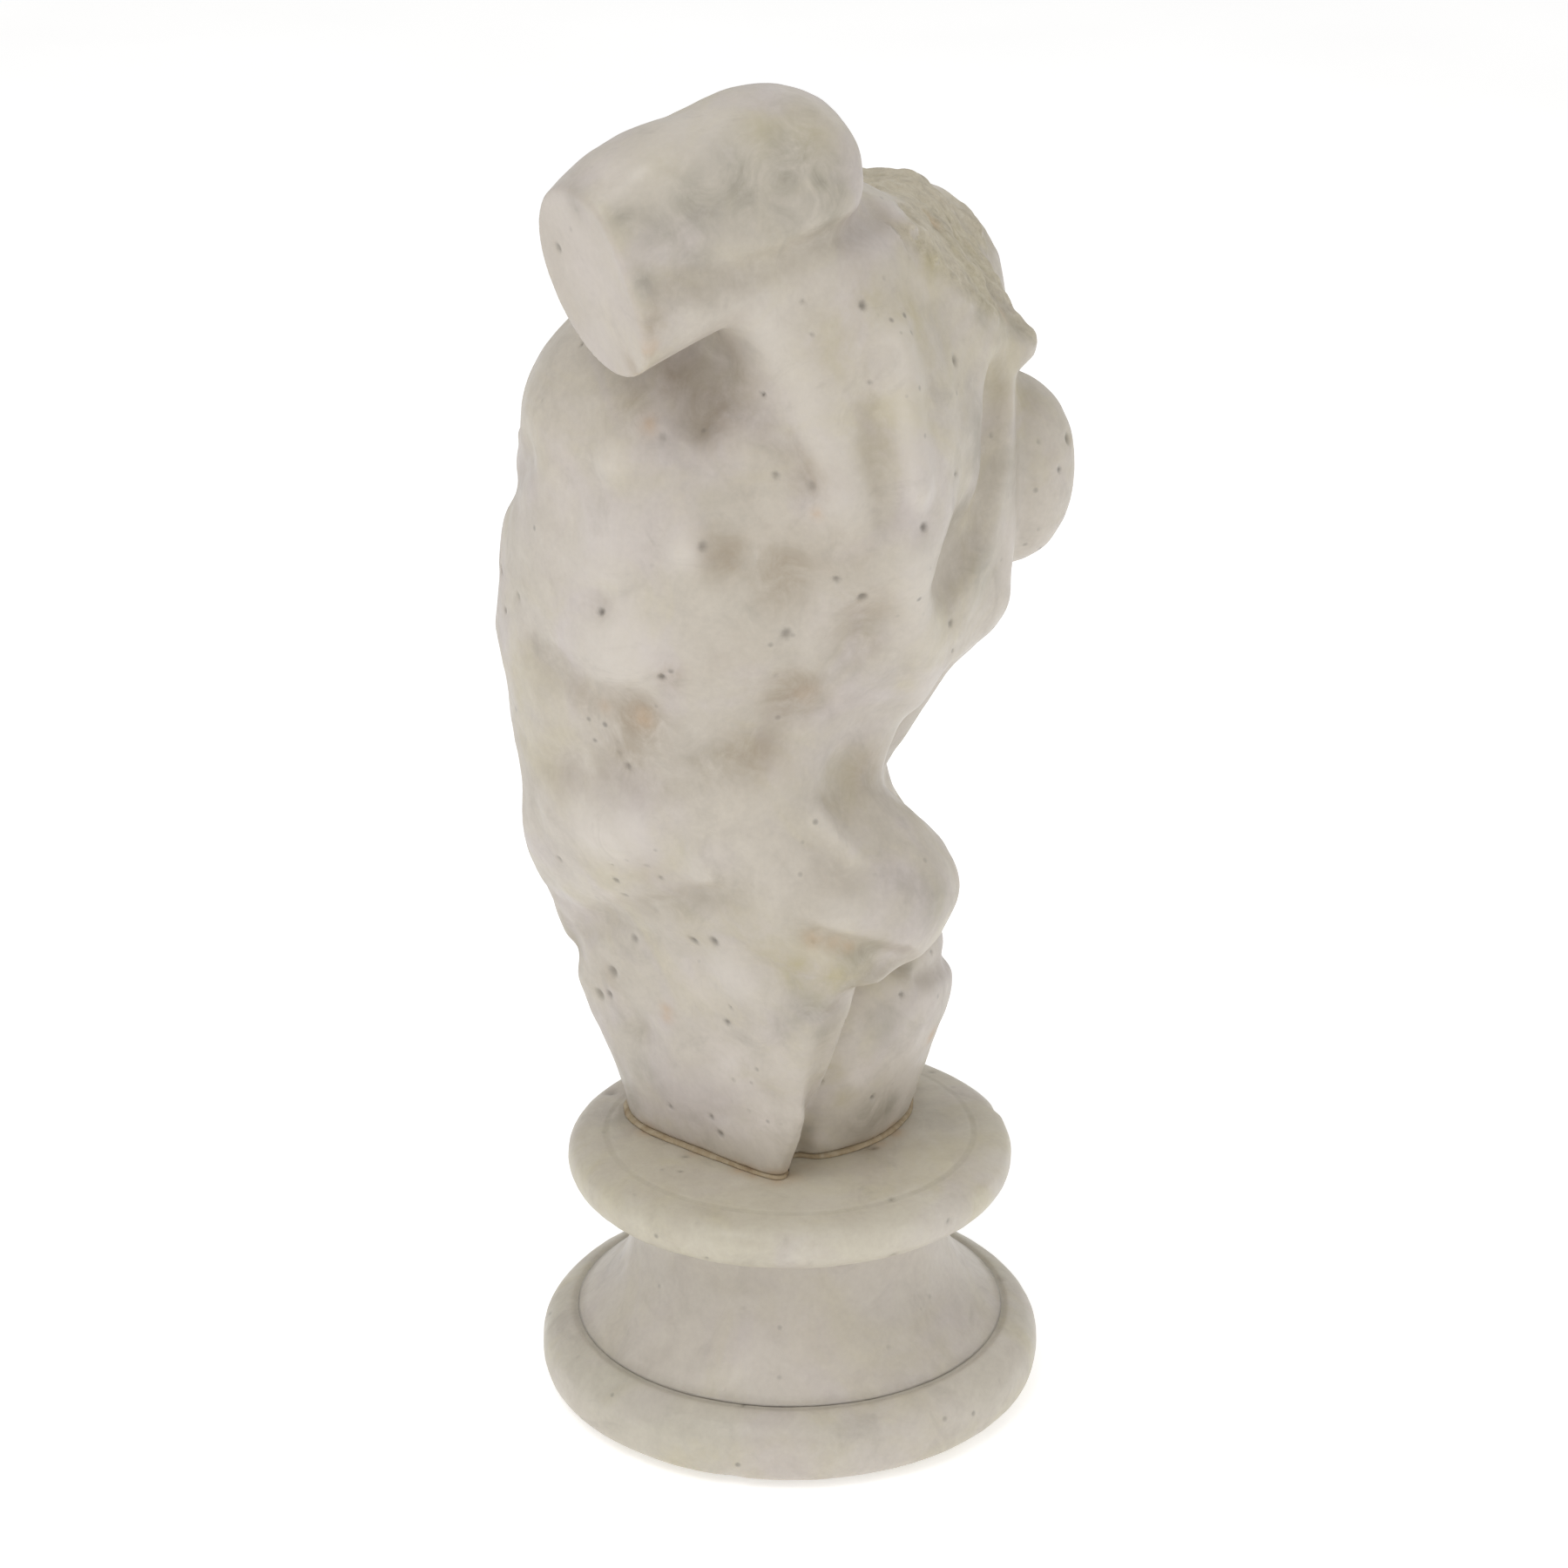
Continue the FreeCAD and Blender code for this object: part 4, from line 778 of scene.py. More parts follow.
waist, Vw, Nw = turned_mesh("socle_waist_turned", [
    [(HOLE, zw0), (42.5, zw0)],
    [(42.5, zw0), (41.6, zw0 + 0.75), (40.3, zw0 + 1.9), (37.1, zw0 + 4.95), (34.3, zw0 + 8.7), (32.3, zw0 + 12.9),
     (31.3, zw0 + 17.1), (31.0, zw0 + 20.9), (31.3, zw0 + 24.7), (32.0, zw1)],
    [(32.0, zw1), (HOLE, zw1)],
    [(HOLE, zw1), (HOLE, zw0)]], 5.7, pits=8)
foot, Vf, Nf = turned_mesh("socle_foot_turned", [
    [(42.4, zf0), (46.4, zf0)],
    [(46.4, zf0), (48.6, zf0 + 1.35), (49.55, zf0 + 3.8), (49.78, zf0 + 6.6), (49.35, zf0 + 9.2),
     (47.6, zf0 + 11.6), (45.6, zf0 + 12.95), (44.3, zf1 - 0.12), (43.5, zf1 - 0.02)],
    [(43.5, zf1 - 0.02), (43.1, zf1 - 0.26), (42.75, zf1 - 0.28), (42.6, zf1 - 0.02)],
    [(42.6, zf1 - 0.02), (HOLE, zf1 - 0.02)],
    [(HOLE, zf1 - 0.02), (HOLE, 10.6)],
    [(HOLE, 10.6), (12.0, 10.6)],
    [(12.0, 10.6), (12.0, 2.0)],
    [(12.0, 2.0), (42.4, 2.0)],
    [(42.4, 2.0), (42.4, zf0)]], 8.9,
    chips=((-1.9, 49.4, zf0 + 9.5, 3.2, 0.3), (0.2, 48.4, zf0 + 1.5, 3.0, 0.4), (2.9, 49.6, zf0 + 4.0, 3.4, 0.3),
           (-0.4, 47.3, zf0 + 11.4, 2.4, 0.25)))


# darkening by nearness to another piece: painted contact shade and dirt
def contact_dirt_and_shade(V, f_other, reach=3.0):
    return np.clip(1 - f_other / reach, 0, 1)


# painted shade and dirt near the torso on the cap's top face, and in the grooves between the pieces
fb = base_and_strokes(np.stack([Vc[:, 0], Vc[:, 1], np.maximum(Vc[:, 2], TORSO_Z0 + 0.3)], 1))
on_top = Vc[:, 2] > zc1 - 1.5
add_attr(cap, "joint", contact_dirt_and_shade(Vc, fb, 3.6) * on_top)
rr = np.hypot(Vc[:, 0], Vc[:, 1])
# cap darker at its underside and in the small step on top: painted shade and dirt
add_attr(cap, "crease", np.clip(1 - (Vc[:, 2] - zc0) / 1.0, 0, 1) * (rr < 37)
         + 0.55 * np.exp(-((rr - 36.3) / 0.8) ** 2) * on_top)
rw = np.hypot(Vw[:, 0], Vw[:, 1])
# waist darker at its foot and just under the cap: painted shade and dirt at the joints
add_attr(waist, "crease", 0.46 * np.clip(1 - (Vw[:, 2] - zw0) / 3.0, 0, 1) * (rw > 35)
         + np.clip(1 - (zw1 - Vw[:, 2]) / 1.0, 0, 1) * 0.4 * (rw > 28))
add_attr(waist, "joint", np.zeros(len(Vw)))
rf = np.hypot(Vf[:, 0], Vf[:, 1])
# foot darker in the groove that takes the waist and at its lowest edge: painted shade and dirt
add_attr(foot, "crease", 0.44 * np.clip(1 - (rf - 42.6) / 3.0, 0, 1) * (Vf[:, 2] > zf1 - 2.0))
add_attr(foot, "joint", np.clip(1 - (Vf[:, 2] - zf0) / 1.6, 0, 1) * 0.25)
for ob, VV in ((cap, Vc), (waist, Vw), (foot, Vf)):
    add_attr(ob, "rust", spot_mask(VV, RUST))
    for nm, S in TINTS:
        add_attr(ob, nm, spot_mask(VV, S))
    for nm in ("ridge", "hollow"):
        add_attr(ob, nm, np.zeros(len(VV)))
    add_attr(ob, "cutface", np.zeros(len(VV)))
    add_attr(ob, "broken", np.zeros(len(VV)))


# ---- mortar bed squeezed out round the torso's foot --------------------------------
def bed_mesh():
    n = 360
    th = np.arange(n) * 2 * np.pi / n
    cx, cy = -4.0, -8.0
    r = np.full(n, 4.0)
    lo_r = np.full(n, 2.0)
    hi_r = np.full(n, 60.0)
    z = TORSO_Z0 + 0.25
    rad = np.linspace(4, 56, 130)
    P = np.stack([cx + rad[None, :] * np.cos(th)[:, None], cy + rad[None, :] * np.sin(th)[:, None],
                  np.full((n, 130), z)], -1).reshape(-1, 3)
    f = base_and_strokes(P).reshape(n, 130)
    first = np.argmax(f > 0, axis=1)
    k = np.clip(first, 1, None)
    f0 = f[np.arange(n), k - 1]
    f1 = f[np.arange(n), k]
    rr = rad[k - 1] + (rad[k] - rad[k - 1]) * (-f0 / np.maximum(f1 - f0, 1e-6))
    ring = np.stack([cx + rr * np.cos(th), cy + rr * np.sin(th), np.zeros(n)], 1)
    wob = 0.32 * vnoise(ring, 5.0, 4.0) + 0.2 * vnoise(ring, 1.9, 6.0)
    prof = ((0.42, 0.0), (0.50, 0.12), (0.38, 0.36), (0.10, 0.60), (-0.35, 0.79), (-2.2, 0.8))
    V = []
    z0, z1 = CAP_TOP, TORSO_Z0
    for off, zz in prof:
        g = rr + off + (wob * 0.45 if off > 0 else 0)
        V.append(np.stack([cx + g * np.cos(th), cy + g * np.sin(th), np.full(n, z0 + min(zz, z1 - z0))], 1))
    inner = 3.5
    V.append(np.stack([inner * np.cos(th), inner * np.sin(th), np.full(n, z1)], 1))
    V.append(np.stack([inner * np.cos(th), inner * np.sin(th), np.full(n, z0)], 1))
    m = len(V)
    VV = np.concatenate(V)
    fs = []
    i = np.arange(n)
    i1 = (i + 1) % n
    for k in range(m):
        k1 = (k + 1) % m
        fs.append(np.stack([k * n + i, k * n + i1, k1 * n + i1, k1 * n + i], 1))
    ob = make_mesh("mortar_bed", VV, np.concatenate(fs))
    return ob


bed = bed_mesh()


# ---- hidden hardware ------------------------------------------------------------------
def rod_mesh():
    """M6 rod with a real helical thread, chamfered ends."""
    b = np.array(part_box("threaded_stud")) / MM
    z0, z1 = b[0][2], b[1][2]
    pitch, nt = 1.0, 40
    per = 6
    turns = (z1 - z0) / pitch
    rows = int(turns * per) + 1
    zz = np.linspace(z0, z1, rows)
    th = np.arange(nt) * 2 * np.pi / nt
    ph = (zz[:, None] / pitch - th[None, :] / (2 * np.pi)) % 1.0
    tri = np.abs(ph - 0.5) * 2
    R = 2.99 - 0.55 * np.clip(tri * 1.25 - 0.12, 0, 1)
    end = np.minimum(zz - z0, z1 - zz)
    R = np.minimum(R, 2.35 + np.clip(end, 0, 1)[:, None])
    V = np.stack([R * np.cos(th), R * np.sin(th), np.broadcast_to(zz[:, None], R.shape)], -1).reshape(-1, 3)
    i = np.arange(rows - 1)[:, None]
    j = np.arange(nt)[None, :]
    j1 = (j + 1) % nt
    q = np.stack([i * nt + j, i * nt + j1, (i + 1) * nt + j1, (i + 1) * nt + j], -1).reshape(-1, 4)
    base_n = len(V)
    V = np.concatenate([V, [[0, 0, z0], [0, 0, z1]]])
    jj = np.arange(nt)
    c0 = np.stack([jj, np.full(nt, base_n), np.full(nt, base_n), (jj + 1) % nt], 1)
    tris0 = np.stack([np.full(nt, base_n), (jj + 1) % nt, jj], 1)
    last = (rows - 1) * nt
    tris1 = np.stack([np.full(nt, base_n + 1), last + jj, last + (jj + 1) % nt], 1)
    me = bpy.data.meshes.new("tie_rod")
    me.from_pydata((V * MM).tolist(), [], q.tolist() + tris0.tolist() + tris1.tolist())
    me.update()
    ob = bpy.data.objects.new("tie_rod", me)
    bpy.context.scene.collection.objects.link(ob)
    for p in me.polygons:
        p.use_smooth = True
    return ob


rod = rod_mesh()


def pad_mesh():
    """Felt disc with a soft, slightly fuzzy rim."""
    b = B["felt_pad"]
    R0, z1 = b[1][0], b[1][2]
    n = 400
    prof = [(0.0, 0.0)]
    for r in np.linspace(3, R0 - 1.0, 22):
        prof.append((r, 0.0))
    prof += [(R0 - 0.55, 0.06), (R0 - 0.18, 0.30), (R0 - 0.04, 0.75), (R0 - 0.04, 1.25), (R0 - 0.2, 1.7), (R0 - 0.6, z1)]
    for r in np.linspace(R0 - 2.0, 3, 10):
        prof.append((r, z1))
    prof = np.array(prof)
    th = np.arange(n) * 2 * np.pi / n
    V = np.stack([prof[None, :, 0] * np.cos(th)[:, None], prof[None, :, 0] * np.sin(th)[:, None],
                  np.broadcast_to(prof[None, :, 1], (n, len(prof)))], -1).reshape(-1, 3)
    r = np.hypot(V[:, 0], V[:, 1])
    fuzz = 0.12 * vnoise(V, 1.1, 2.0) + 0.16 * vnoise(V, 9.0, 5.0)
    k = np.clip((r - (R0 - 3)) / 3, 0, 1) * np.clip(V[:, 2] / 0.2, 0, 1) * np.clip((z1 - V[:, 2]) / 0.2, 0, 1)
    s = 1 + (fuzz - 0.28) * k / np.maximum(r, 1)
    V[:, 0] *= s
    V[:, 1] *= s
    V[:, 2] += np.where((V[:, 2] < 0.05) & (r < R0 - 1.2), 0.03 * (1 + vnoise(V, 2.0, 8.0)), 0)
    m = len(prof)
    i = np.arange(n)[:, None]
    j = np.arange(1, m - 1)[None, :]
    i1 = (i + 1) % n
    q = np.stack([i * m + j, i * m + j + 1, i1 * m + j + 1, i1 * m + j], -1).reshape(-1, 4)
    q = q[:, ::-1]
    me = bpy.data.meshes.new("felt_base_pad")
    Vl = V.tolist()
    c0 = len(Vl)
    Vl.append([0, 0, 0])
    Vl.append([0, 0, z1])
    fs = q.tolist()
    for a in range(n):
        b2 = (a + 1) % n
        fs.append([c0, b2 * m + 1, a * m + 1])
        fs.append([c0 + 1, a * m + m - 1, b2 * m + m - 1])
    me.from_pydata((np.array(Vl) * MM).tolist(), [], fs)
    me.update()
    ob = bpy.data.objects.new("felt_base_pad", me)
    bpy.context.scene.collection.objects.link(ob)
    for p in me.polygons:
        p.use_smooth = True
    # drop the unused centre column points
    import bmesh
    bm = bmesh.new()
    bm.from_mesh(me)
    loose = [v for v in bm.verts if not v.link_faces]
    bmesh.ops.delete(bm, geom=loose, context='VERTS')
    bmesh.ops.recalc_face_normals(bm, faces=bm.faces)
    bm.to_mesh(me)
    bm.free()
    return ob


pad = pad_mesh()


# ---- materials ---------------------------------------------------------------------------
def nodes_of(name):
    m = bpy.data.materials.new(name)
    m.use_nodes = True
    nt = m.node_tree
    nt.nodes.clear()
    out = nt.nodes.new("ShaderNodeOutputMaterial")
    bs = nt.nodes.new("ShaderNodeBsdfPrincipled")
    nt.links.new(bs.outputs[0], out.inputs[0])
    return m, nt, bs, out


class NT:
    """Small helper that keeps node set-ups readable."""
    def __init__(s, nt):
        s.nt = nt

    def new(s, kind, **kw):
        n = s.nt.nodes.new(kind)
        for k, v in kw.items():
            setattr(n, k, v)
        return n

    def link(s, a, b):
        s.nt.links.new(a, b)

    def obj(s):
        return s.new("ShaderNodeTexCoord").outputs["Object"]

    def noise(s, vec, scale, detail=4.0, rough=0.55, dist=0.0, out="Fac"):
        n = s.new("ShaderNodeTexNoise")
        n.inputs["Scale"].default_value = scale
        n.inputs["Detail"].default_value = detail
        n.inputs["Roughness"].default_value = rough
        n.inputs["Distortion"].default_value = dist
        s.link(vec, n.inputs["Vector"])
        return n.outputs[out]

    def ramp(s, fac, stops, interp='LINEAR'):
        n = s.new("ShaderNodeValToRGB")
        n.color_ramp.interpolation = interp
        e = n.color_ramp.elements
        while len(e) < len(stops):
            e.new(0.5)
        for el, (p, c) in zip(e, stops):
            el.position = p
            el.color = (c, c, c, 1) if not hasattr(c, "__len__") else (*c, 1)
        s.link(fac, n.inputs["Fac"])
        return n.outputs["Color"]

    def mix(s, fac, a, b, mode='MIX'):
        n = s.new("ShaderNodeMix", data_type='RGBA', blend_type=mode)
        for sock, v in ((n.inputs[0], fac), (n.inputs[6], a), (n.inputs[7], b)):
            if isinstance(v, (int, float)):
                sock.default_value = v
            elif isinstance(v, tuple):
                sock.default_value = (*v, 1)
            else:
                s.link(v, sock)
        return n.outputs[2]

    def math(s, op, a, b=None, clamp=False):
        n = s.new("ShaderNodeMath", operation=op, use_clamp=clamp)
        for sock, v in ((n.inputs[0], a), (n.inputs[1], b)):
            if v is None:
                continue
            if isinstance(v, (int, float)):
                sock.default_value = v
            else:
                s.link(v, sock)
        return n.outputs[0]

    def attr(s, name):
        return s.new("ShaderNodeAttribute", attribute_name=name).outputs["Fac"]

    def bump(s, height, strength, dist, normal=None):
        n = s.new("ShaderNodeBump")
        n.inputs["Strength"].default_value = strength
        n.inputs["Distance"].default_value = dist
        s.link(height, n.inputs["Height"])
        if normal is not None:
            s.link(normal, n.inputs["Normal"])
        return n.outputs["Normal"]


def lin(r, g, b):
    f = lambda c: (c / 255 / 12.92) if c / 255 <= 0.04045 else ((c / 255 + 0.055) / 1.055) ** 2.4
    return (f(r), f(g), f(b))


def marble(name, seed, base_a, base_b, yellow=0.5, lilac=0.5, dirt_shade_amount=1.0):
    # the last argument scales the painted shade and dirt in creases and at the joints
    m, nt, bs, out = nodes_of(name)
    t = NT(nt)
    mp = t.new("ShaderNodeMapping")
    mp.inputs["Location"].default_value = (seed, seed * 0.7, -seed * 0.4)
    t.link(t.obj(), mp.inputs["Vector"])
    P = mp.outputs[0]
    # broad clouds of warm and cool stone
    broad = t.noise(P, 22, 3, 0.55, 0.6)
    col = t.mix(t.ramp(broad, [(0.35, 0.0), (0.65, 1.0)]), base_a, base_b)
    yl = t.noise(P, 34, 4, 0.6, 1.2)
    col = t.mix(t.math('MULTIPLY', t.ramp(yl, [(0.50, 0.0), (0.68, 1.0)]), yellow), col, lin(190, 181, 152))
    li = t.noise(P, 41, 3, 0.55, 0.8)
    col = t.mix(t.math('MULTIPLY', t.ramp(li, [(0.50, 0.0), (0.66, 1.0)]), lilac), col, lin(190, 181, 180))
    # mottling at 3-8 mm and fine grain
    mott = t.noise(P, 170, 5, 0.62, 0.7)
    col = t.mix(0.55, col, t.ramp(mott, [(0.30, 0.44), (0.52, 0.5), (0.72, 0.55)]), 'OVERLAY')
    grain = t.noise(P, 900, 3, 0.6)
    col = t.mix(0.25, col, t.ramp(grain, [(0.30, 0.43), (0.70, 0.57)]), 'OVERLAY')
    # broad stains, with painted shade and highlight among the grey and pale spots, edges broken up by noise
    edge = t.ramp(t.noise(P, 120, 5, 0.68, 0.8), [(0.32, 0.15), (0.62, 1.0)])
    for nm, tone, amount in (("pale", lin(212, 203, 197), 0.6), ("olive", lin(174, 164, 126), 0.85),
                             ("brown", lin(146, 128, 104), 0.72), ("grey", lin(136, 131, 117), 0.8)):
        col = t.mix(t.math('MULTIPLY', t.math('MULTIPLY', t.attr(nm), edge), amount), col, tone)
    # painted highlight on raised relief strokes and painted shade in sunken ones
    col = t.mix(t.math('MULTIPLY', t.attr("ridge"), 0.38), col, lin(210, 203, 194))
    col = t.mix(t.math('MULTIPLY', t.math('MULTIPLY', t.attr("hollow"), edge), 0.36), col, lin(142, 130, 110))
    # faint grey soiling clouds
    soil = t.noise(P, 60, 5, 0.65, 1.6)
    col = t.mix(t.math('MULTIPLY', t.ramp(soil, [(0.56, 0.0), (0.74, 1.0)]), 0.34), col, lin(150, 143, 132))
    # dark mineral specks
    vor = t.new("ShaderNodeTexVoronoi")
    vor.inputs["Scale"].default_value = 230
    t.link(P, vor.inputs["Vector"])
    where = t.ramp(t.noise(P, 75, 3, 0.6), [(0.56, 0.0), (0.66, 1.0)])
    speck = t.math('MULTIPLY', t.ramp(vor.outputs["Distance"], [(0.07, 1.0), (0.17, 0.0)]), where)
    col = t.mix(t.math('MULTIPLY', speck, 0.55), col, lin(96, 92, 88))
    # worn-in dirt together with painted shade (occlusion masks) in folds and at the joints, dirt and painted shade in
    # pits, dirt and rough stone on the break
    # crease: painted shade and dirt in folds, broken up by noise
    cre = t.attr("crease")
    brk = t.noise(P, 260, 4, 0.7)
    crease_dirt_and_shade = t.math('MULTIPLY', t.ramp(cre, [(0.22, 0.0), (0.62, 1.0)]),
                  t.ramp(brk, [(0.25, 0.45), (0.7, 1.0)]))
    col = t.mix(t.math('MULTIPLY', crease_dirt_and_shade, 0.5 * dirt_shade_amount), col, lin(120, 112, 90))
    # joint: painted contact shade and dirt where the pieces meet
    jo = t.attr("joint")
    joint_dirt_and_shade = t.math('MULTIPLY', t.ramp(jo, [(0.15, 0.0), (0.9, 1.0)]), t.ramp(brk, [(0.28, 0.35), (0.72, 1.0)]))
    col = t.mix(t.math('MULTIPLY', joint_dirt_and_shade, 0.3 * dirt_shade_amount), col, lin(150, 128, 98))
    br = t.attr("broken")
    rough_stone = t.ramp(t.noise(P, 420, 5, 0.75, 0.4), [(0.28, lin(122, 112, 88)), (0.5, lin(176, 166, 136)), (0.7, lin(205, 198, 176))])
    col = t.mix(t.math('MULTIPLY', br, 0.45), col, rough_stone)
    cf = t.attr("cutface")
    col = t.mix(t.math('MULTIPLY', cf, 0.35), col, lin(190, 180, 172))
    ru = t.attr("rust")
    col = t.mix(t.math('MULTIPLY', t.math('MULTIPLY', ru, t.ramp(brk, [(0.3, 0.3), (0.7, 1.0)])), 0.6), col, lin(190, 156, 118))
    # pits darker: dirt in the pores, and painted shade in the deep armpit hole
    pi_ = t.attr("pit")
    col = t.mix(t.math('MULTIPLY', pi_, 0.78), col, lin(92, 86, 78))
    t.link(col, bs.inputs["Base Color"])
    # sheen varies: handled high spots are smoother
    rg = t.ramp(t.noise(P, 95, 4, 0.6, 0.5), [(0.3, 0.34), (0.7, 0.56)])
    rg = t.math('ADD', rg, t.math('MULTIPLY', t.math('MAXIMUM', crease_dirt_and_shade, br), 0.3), clamp=True)
    t.link(rg, bs.inputs["Roughness"])
    # fine surface relief
    h1 = t.noise(P, 520, 5, 0.62)
    h2 = t.noise(P, 1500, 3, 0.6)
    hh = t.math('ADD', t.math('MULTIPLY', h1, 0.7), t.math('MULTIPLY', h2, 0.3))
    hb = t.math('ADD', hh, t.math('MULTIPLY', t.math('MULTIPLY', br, t.noise(P, 330, 5, 0.75)), 5.0))
    t.link(t.bump(hb, 0.35, 0.00022), bs.inputs["Normal"])
    bs.inputs["IOR"].default_value = 1.5
    bs.inputs["Specular IOR Level"].default_value = 0.5
    bs.inputs["Subsurface Weight"].default_value = 0.12
    bs.inputs["Subsurface Radius"].default_value = (1.0, 0.85, 0.7)
    bs.inputs["Subsurface Scale"].default_value = 0.0012
    return m


A = lin(193, 185, 174)
Bc = lin(186, 178, 165)
m_torso = marble("marble_torso_stone", 0.13, A, Bc, 0.42, 0.5)
m_cap = marble("marble_cap_stone", 0.57, lin(199, 192, 178), lin(194, 187, 170), 0.55, 0.35, 0.7)
m_waist = marble("marble_waist_stone", 0.91, A, lin(190, 183, 172), 0.3, 0.35, 0.9)
m_foot = marble("marble_foot_stone", 1.37, A, lin(189, 183, 168), 0.5, 0.3)


def mortar():
    m, nt, bs, out = nodes_of("mortar_old_resin")
    t = NT(nt)
    P = t.obj()
    n = t.noise(P, 300, 5, 0.7, 0.5)
    col = t.ramp(n, [(0.25, lin(122, 98, 72)), (0.45, lin(156, 138, 110)), (0.75, lin(188, 176, 152))])
    st = t.ramp(t.noise(P, 90, 4, 0.6), [(0.5, 0.0), (0.7, 0.7)])
    col = t.mix(st, col, lin(176, 158, 128))
    t.link(col, bs.inputs["Base Color"])
    bs.inputs["Roughness"].default_value = 0.8
    t.link(t.bump(t.noise(P, 900, 5, 0.7), 0.6, 0.0003), bs.inputs["Normal"])
    return m


def steel():
    m, nt, bs, out = nodes_of("zinc_plated_steel")
    t = NT(nt)
    P = t.obj()
    n = t.noise(P, 260, 5, 0.65, 0.3)
    col = t.ramp(n, [(0.3, lin(150, 150, 146)), (0.6, lin(186, 187, 184)), (0.8, lin(204, 200, 188))])
    st = t.ramp(t.noise(P, 120, 4, 0.7), [(0.6, 0.0), (0.75, 0.6)])
    col = t.mix(st, col, lin(140, 92, 58))
    t.link(col, bs.inputs["Base Color"])
    bs.inputs["Metallic"].default_value = 1.0
    t.link(t.math('ADD', t.ramp(n, [(0.3, 0.28), (0.7, 0.46)]), t.math('MULTIPLY', st, 0.3)), bs.inputs["Roughness"])
    t.link(t.bump(t.noise(P, 1400, 3, 0.6), 0.25, 0.0001), bs.inputs["Normal"])
    return m


def fibre():
    m, nt, bs, out = nodes_of("vulcanised_fibre")
    t = NT(nt)
    P = t.obj()
    n = t.noise(P, 420, 5, 0.6, 1.0)
    col = t.ramp(n, [(0.3, lin(92, 32, 24)), (0.7, lin(128, 50, 36))])
    t.link(col, bs.inputs["Base Color"])
    t.link(t.ramp(n, [(0.3, 0.5), (0.7, 0.7)]), bs.inputs["Roughness"])
    t.link(t.bump(t.noise(P, 1600, 4, 0.6), 0.4, 0.0001), bs.inputs["Normal"])
    return m


def felt():
    m, nt, bs, out = nodes_of("green_wool_felt")
    t = NT(nt)
    P = t.obj()
    n = t.noise(P, 240, 6, 0.7, 1.5)
    f = t.noise(P, 2200, 3, 0.7, 2.5)
    col = t.ramp(n, [(0.3, lin(38, 66, 46)), (0.6, lin(52, 88, 62)), (0.8, lin(70, 104, 78))])
    col = t.mix(0.5, col, t.ramp(f, [(0.3, 0.32), (0.7, 0.66)]), 'OVERLAY')
    t.link(col, bs.inputs["Base Color"])
    bs.inputs["Roughness"].default_value = 0.95
    bs.inputs["Sheen Weight"].default_value = 0.35
    bs.inputs["Sheen Roughness"].default_value = 0.5
    h = t.math('ADD', f, t.math('MULTIPLY', n, 0.5))
    t.link(t.bump(h, 0.9, 0.0004), bs.inputs["Normal"])
    return m


m_mortar, m_steel, m_fibre, m_felt = mortar(), steel(), fibre(), felt()

for ob, mat, node, slot in (
        (torso, m_torso, "torso", "torso_marble"),
        (cap, m_cap, "socle_cap", "cap_marble"),
        (waist, m_waist, "socle_waist", "waist_marble"),
        (foot, m_foot, "socle_foot", "foot_marble"),
        (bed, m_mortar, "torso_bed", "mortar"),
        (rod, m_steel, "threaded_stud", "steel"),
        (pad, m_felt, "felt_pad", "felt")):
    ob.data.materials.append(mat)
    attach(ob, "root")
    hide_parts(node)

for node, mat in (("stud_grout", m_mortar), ("locating_pin", m_steel), ("fibre_washer", m_fibre),
                  ("plain_washer", m_steel), ("hex_nut", m_steel)):
    ob = bpy.data.objects[node] if node in bpy.data.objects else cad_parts[node]
    for s in ob.material_slots:
        s.material = mat

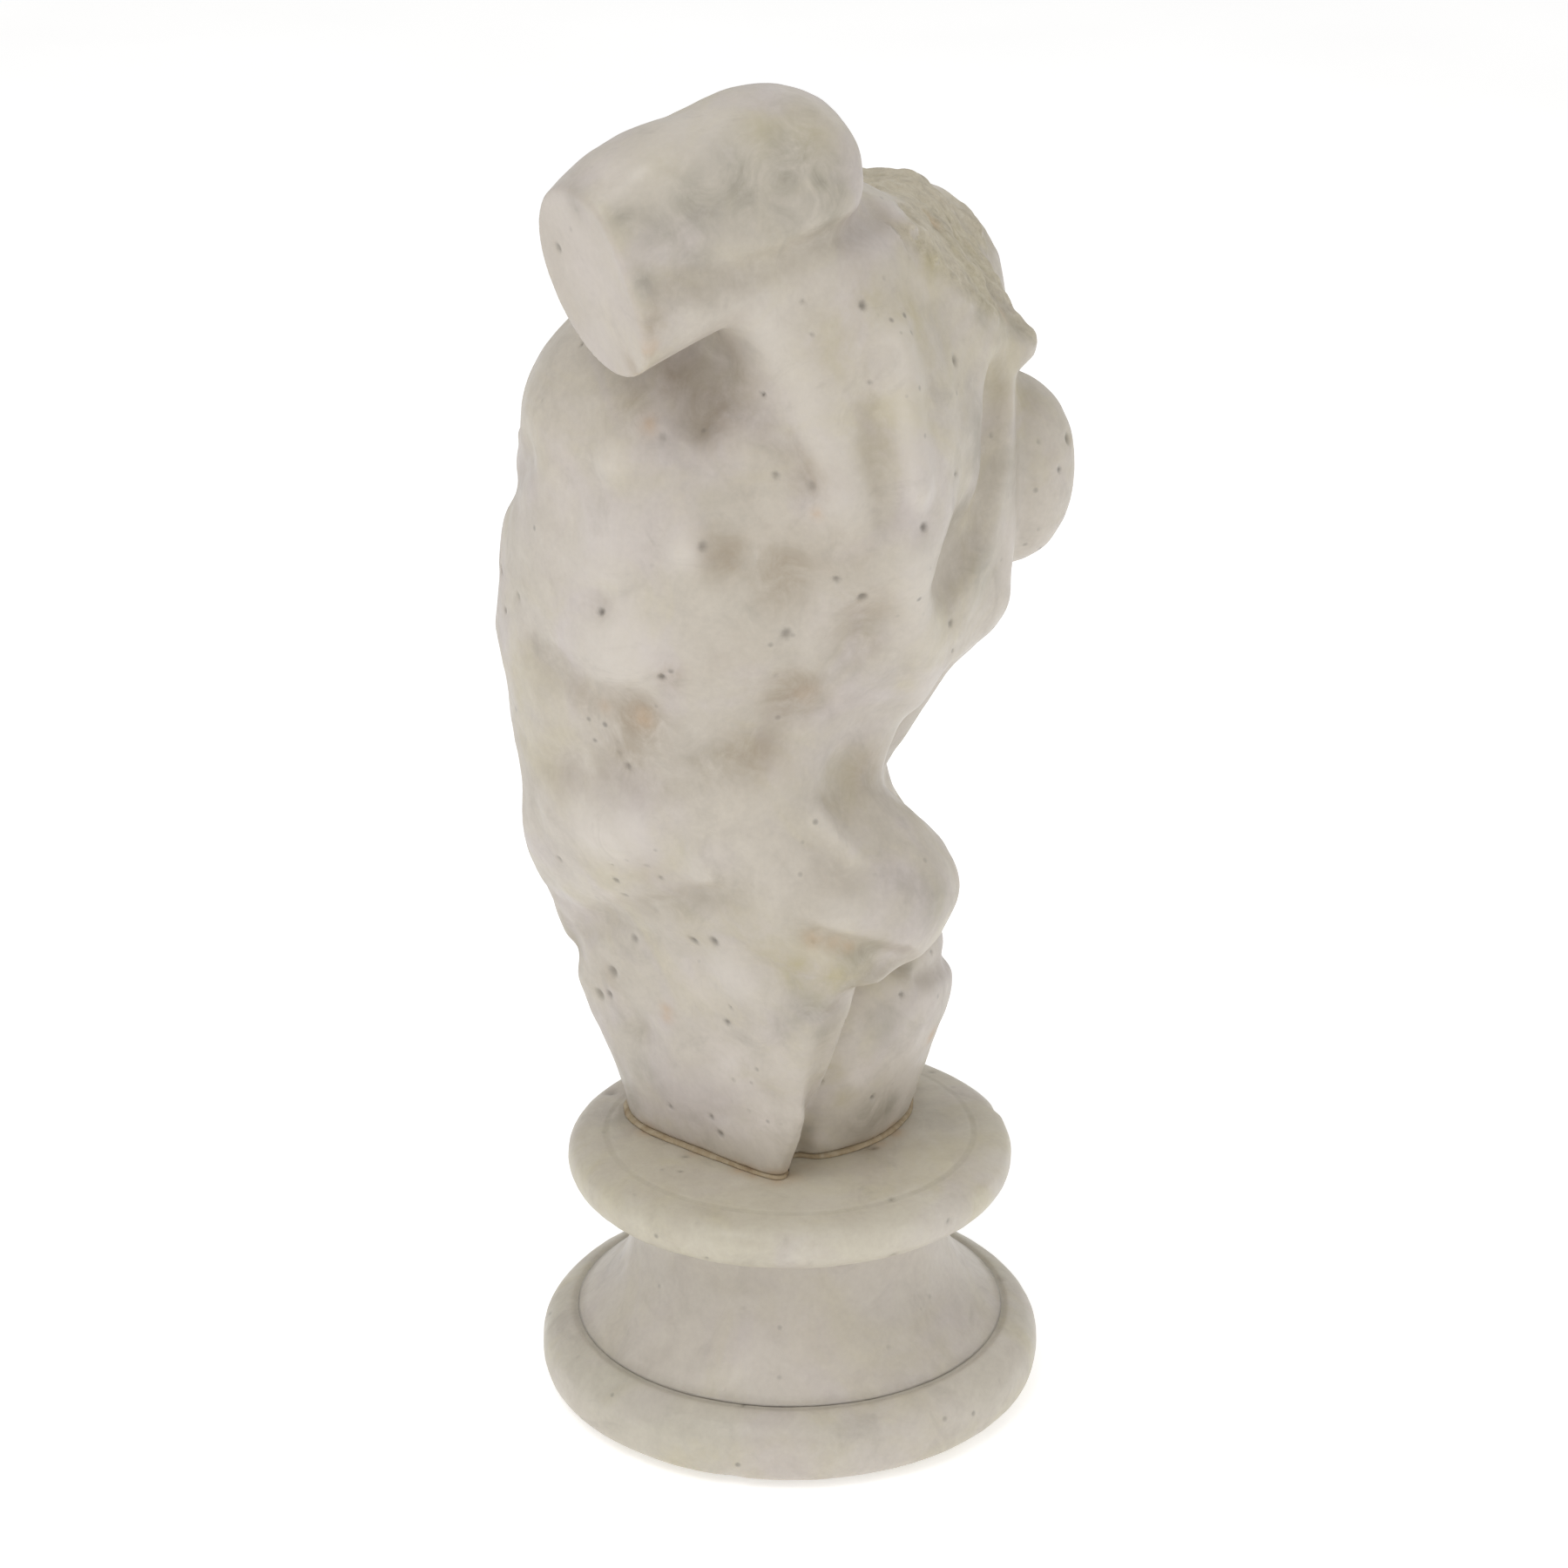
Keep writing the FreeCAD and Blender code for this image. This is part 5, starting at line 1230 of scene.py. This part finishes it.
# ---- floor, light, camera --------------------------------------------------------------------
me = bpy.data.meshes.new("floor")
S = 3.0
me.from_pydata([(-S, -S, 0), (S, -S, 0), (S, S, 0), (-S, S, 0)], [], [(0, 1, 2, 3)])
floor = bpy.data.objects.new("floor", me)
bpy.context.scene.collection.objects.link(floor)
floor.location.z = -0.0004
fm, nt, bs, out = nodes_of("pale_floor")
t = NT(nt)
fn_ = t.noise(t.obj(), 6, 3, 0.5)
t.link(t.ramp(fn_, [(0.3, 0.93), (0.7, 0.96)]), bs.inputs["Base Color"])
bs.inputs["Roughness"].default_value = 0.9
bs.inputs["Specular IOR Level"].default_value = 0.1
bs.inputs["Emission Color"].default_value = (1, 1, 1, 1)
bs.inputs["Emission Strength"].default_value = 0.42
me.materials.append(fm)

w = bpy.data.worlds.new("studio")
bpy.context.scene.world = w
w.use_nodes = True
bg = w.node_tree.nodes["Background"]
bg.inputs[0].default_value = (1.0, 0.995, 0.985, 1)
bg.inputs[1].default_value = WORLD

AZ, EL, DIST = math.radians(115.0), math.radians(21.6), 0.7552
TGT = np.array([UT * math.cos(AZ), UT * math.sin(AZ), 125.8]) * MM
back = np.array([math.sin(AZ) * math.cos(EL), -math.cos(AZ) * math.cos(EL), math.sin(EL)])
right = np.array([math.cos(AZ), math.sin(AZ), 0.0])
upv = np.cross(back, right)


def aim(ob, pos, target):
    from mathutils import Vector
    d = Vector(target) - Vector(pos)
    ob.location = pos
    ob.rotation_euler = d.to_track_quat('-Z', 'Y').to_euler()


def area(name, direction, dist, size, power, colour=(1, 1, 1)):
    l = bpy.data.lights.new(name, 'AREA')
    l.shape = 'SQUARE'
    l.size = size
    l.energy = power
    l.color = colour
    o = bpy.data.objects.new(name, l)
    bpy.context.scene.collection.objects.link(o)
    d = np.array(direction, float)
    d /= np.linalg.norm(d)
    c = np.array([0, 0, 0.14])
    aim(o, tuple(c + d * dist), tuple(c))
    return o


for nm, (cb, cr, cu), dist, size, power in LIGHTS:
    area(nm, back * cb + right * cr + np.array([0, 0, 1.0]) * cu, dist, size, power)

cam = bpy.data.cameras.new("camera")
cam.sensor_width = 36.0
cam.lens = 36.0 * 4544.0 / 1800.0
cam.clip_start = 0.01
cam.clip_end = 20
camo = bpy.data.objects.new("camera", cam)
bpy.context.scene.collection.objects.link(camo)
aim(camo, tuple(TGT + back * DIST), tuple(TGT))
bpy.context.scene.camera = camo
vs = bpy.context.scene.view_settings
vs.view_transform = 'Standard'
vs.look = 'None'
vs.exposure = 0.0
vs.gamma = 1.0
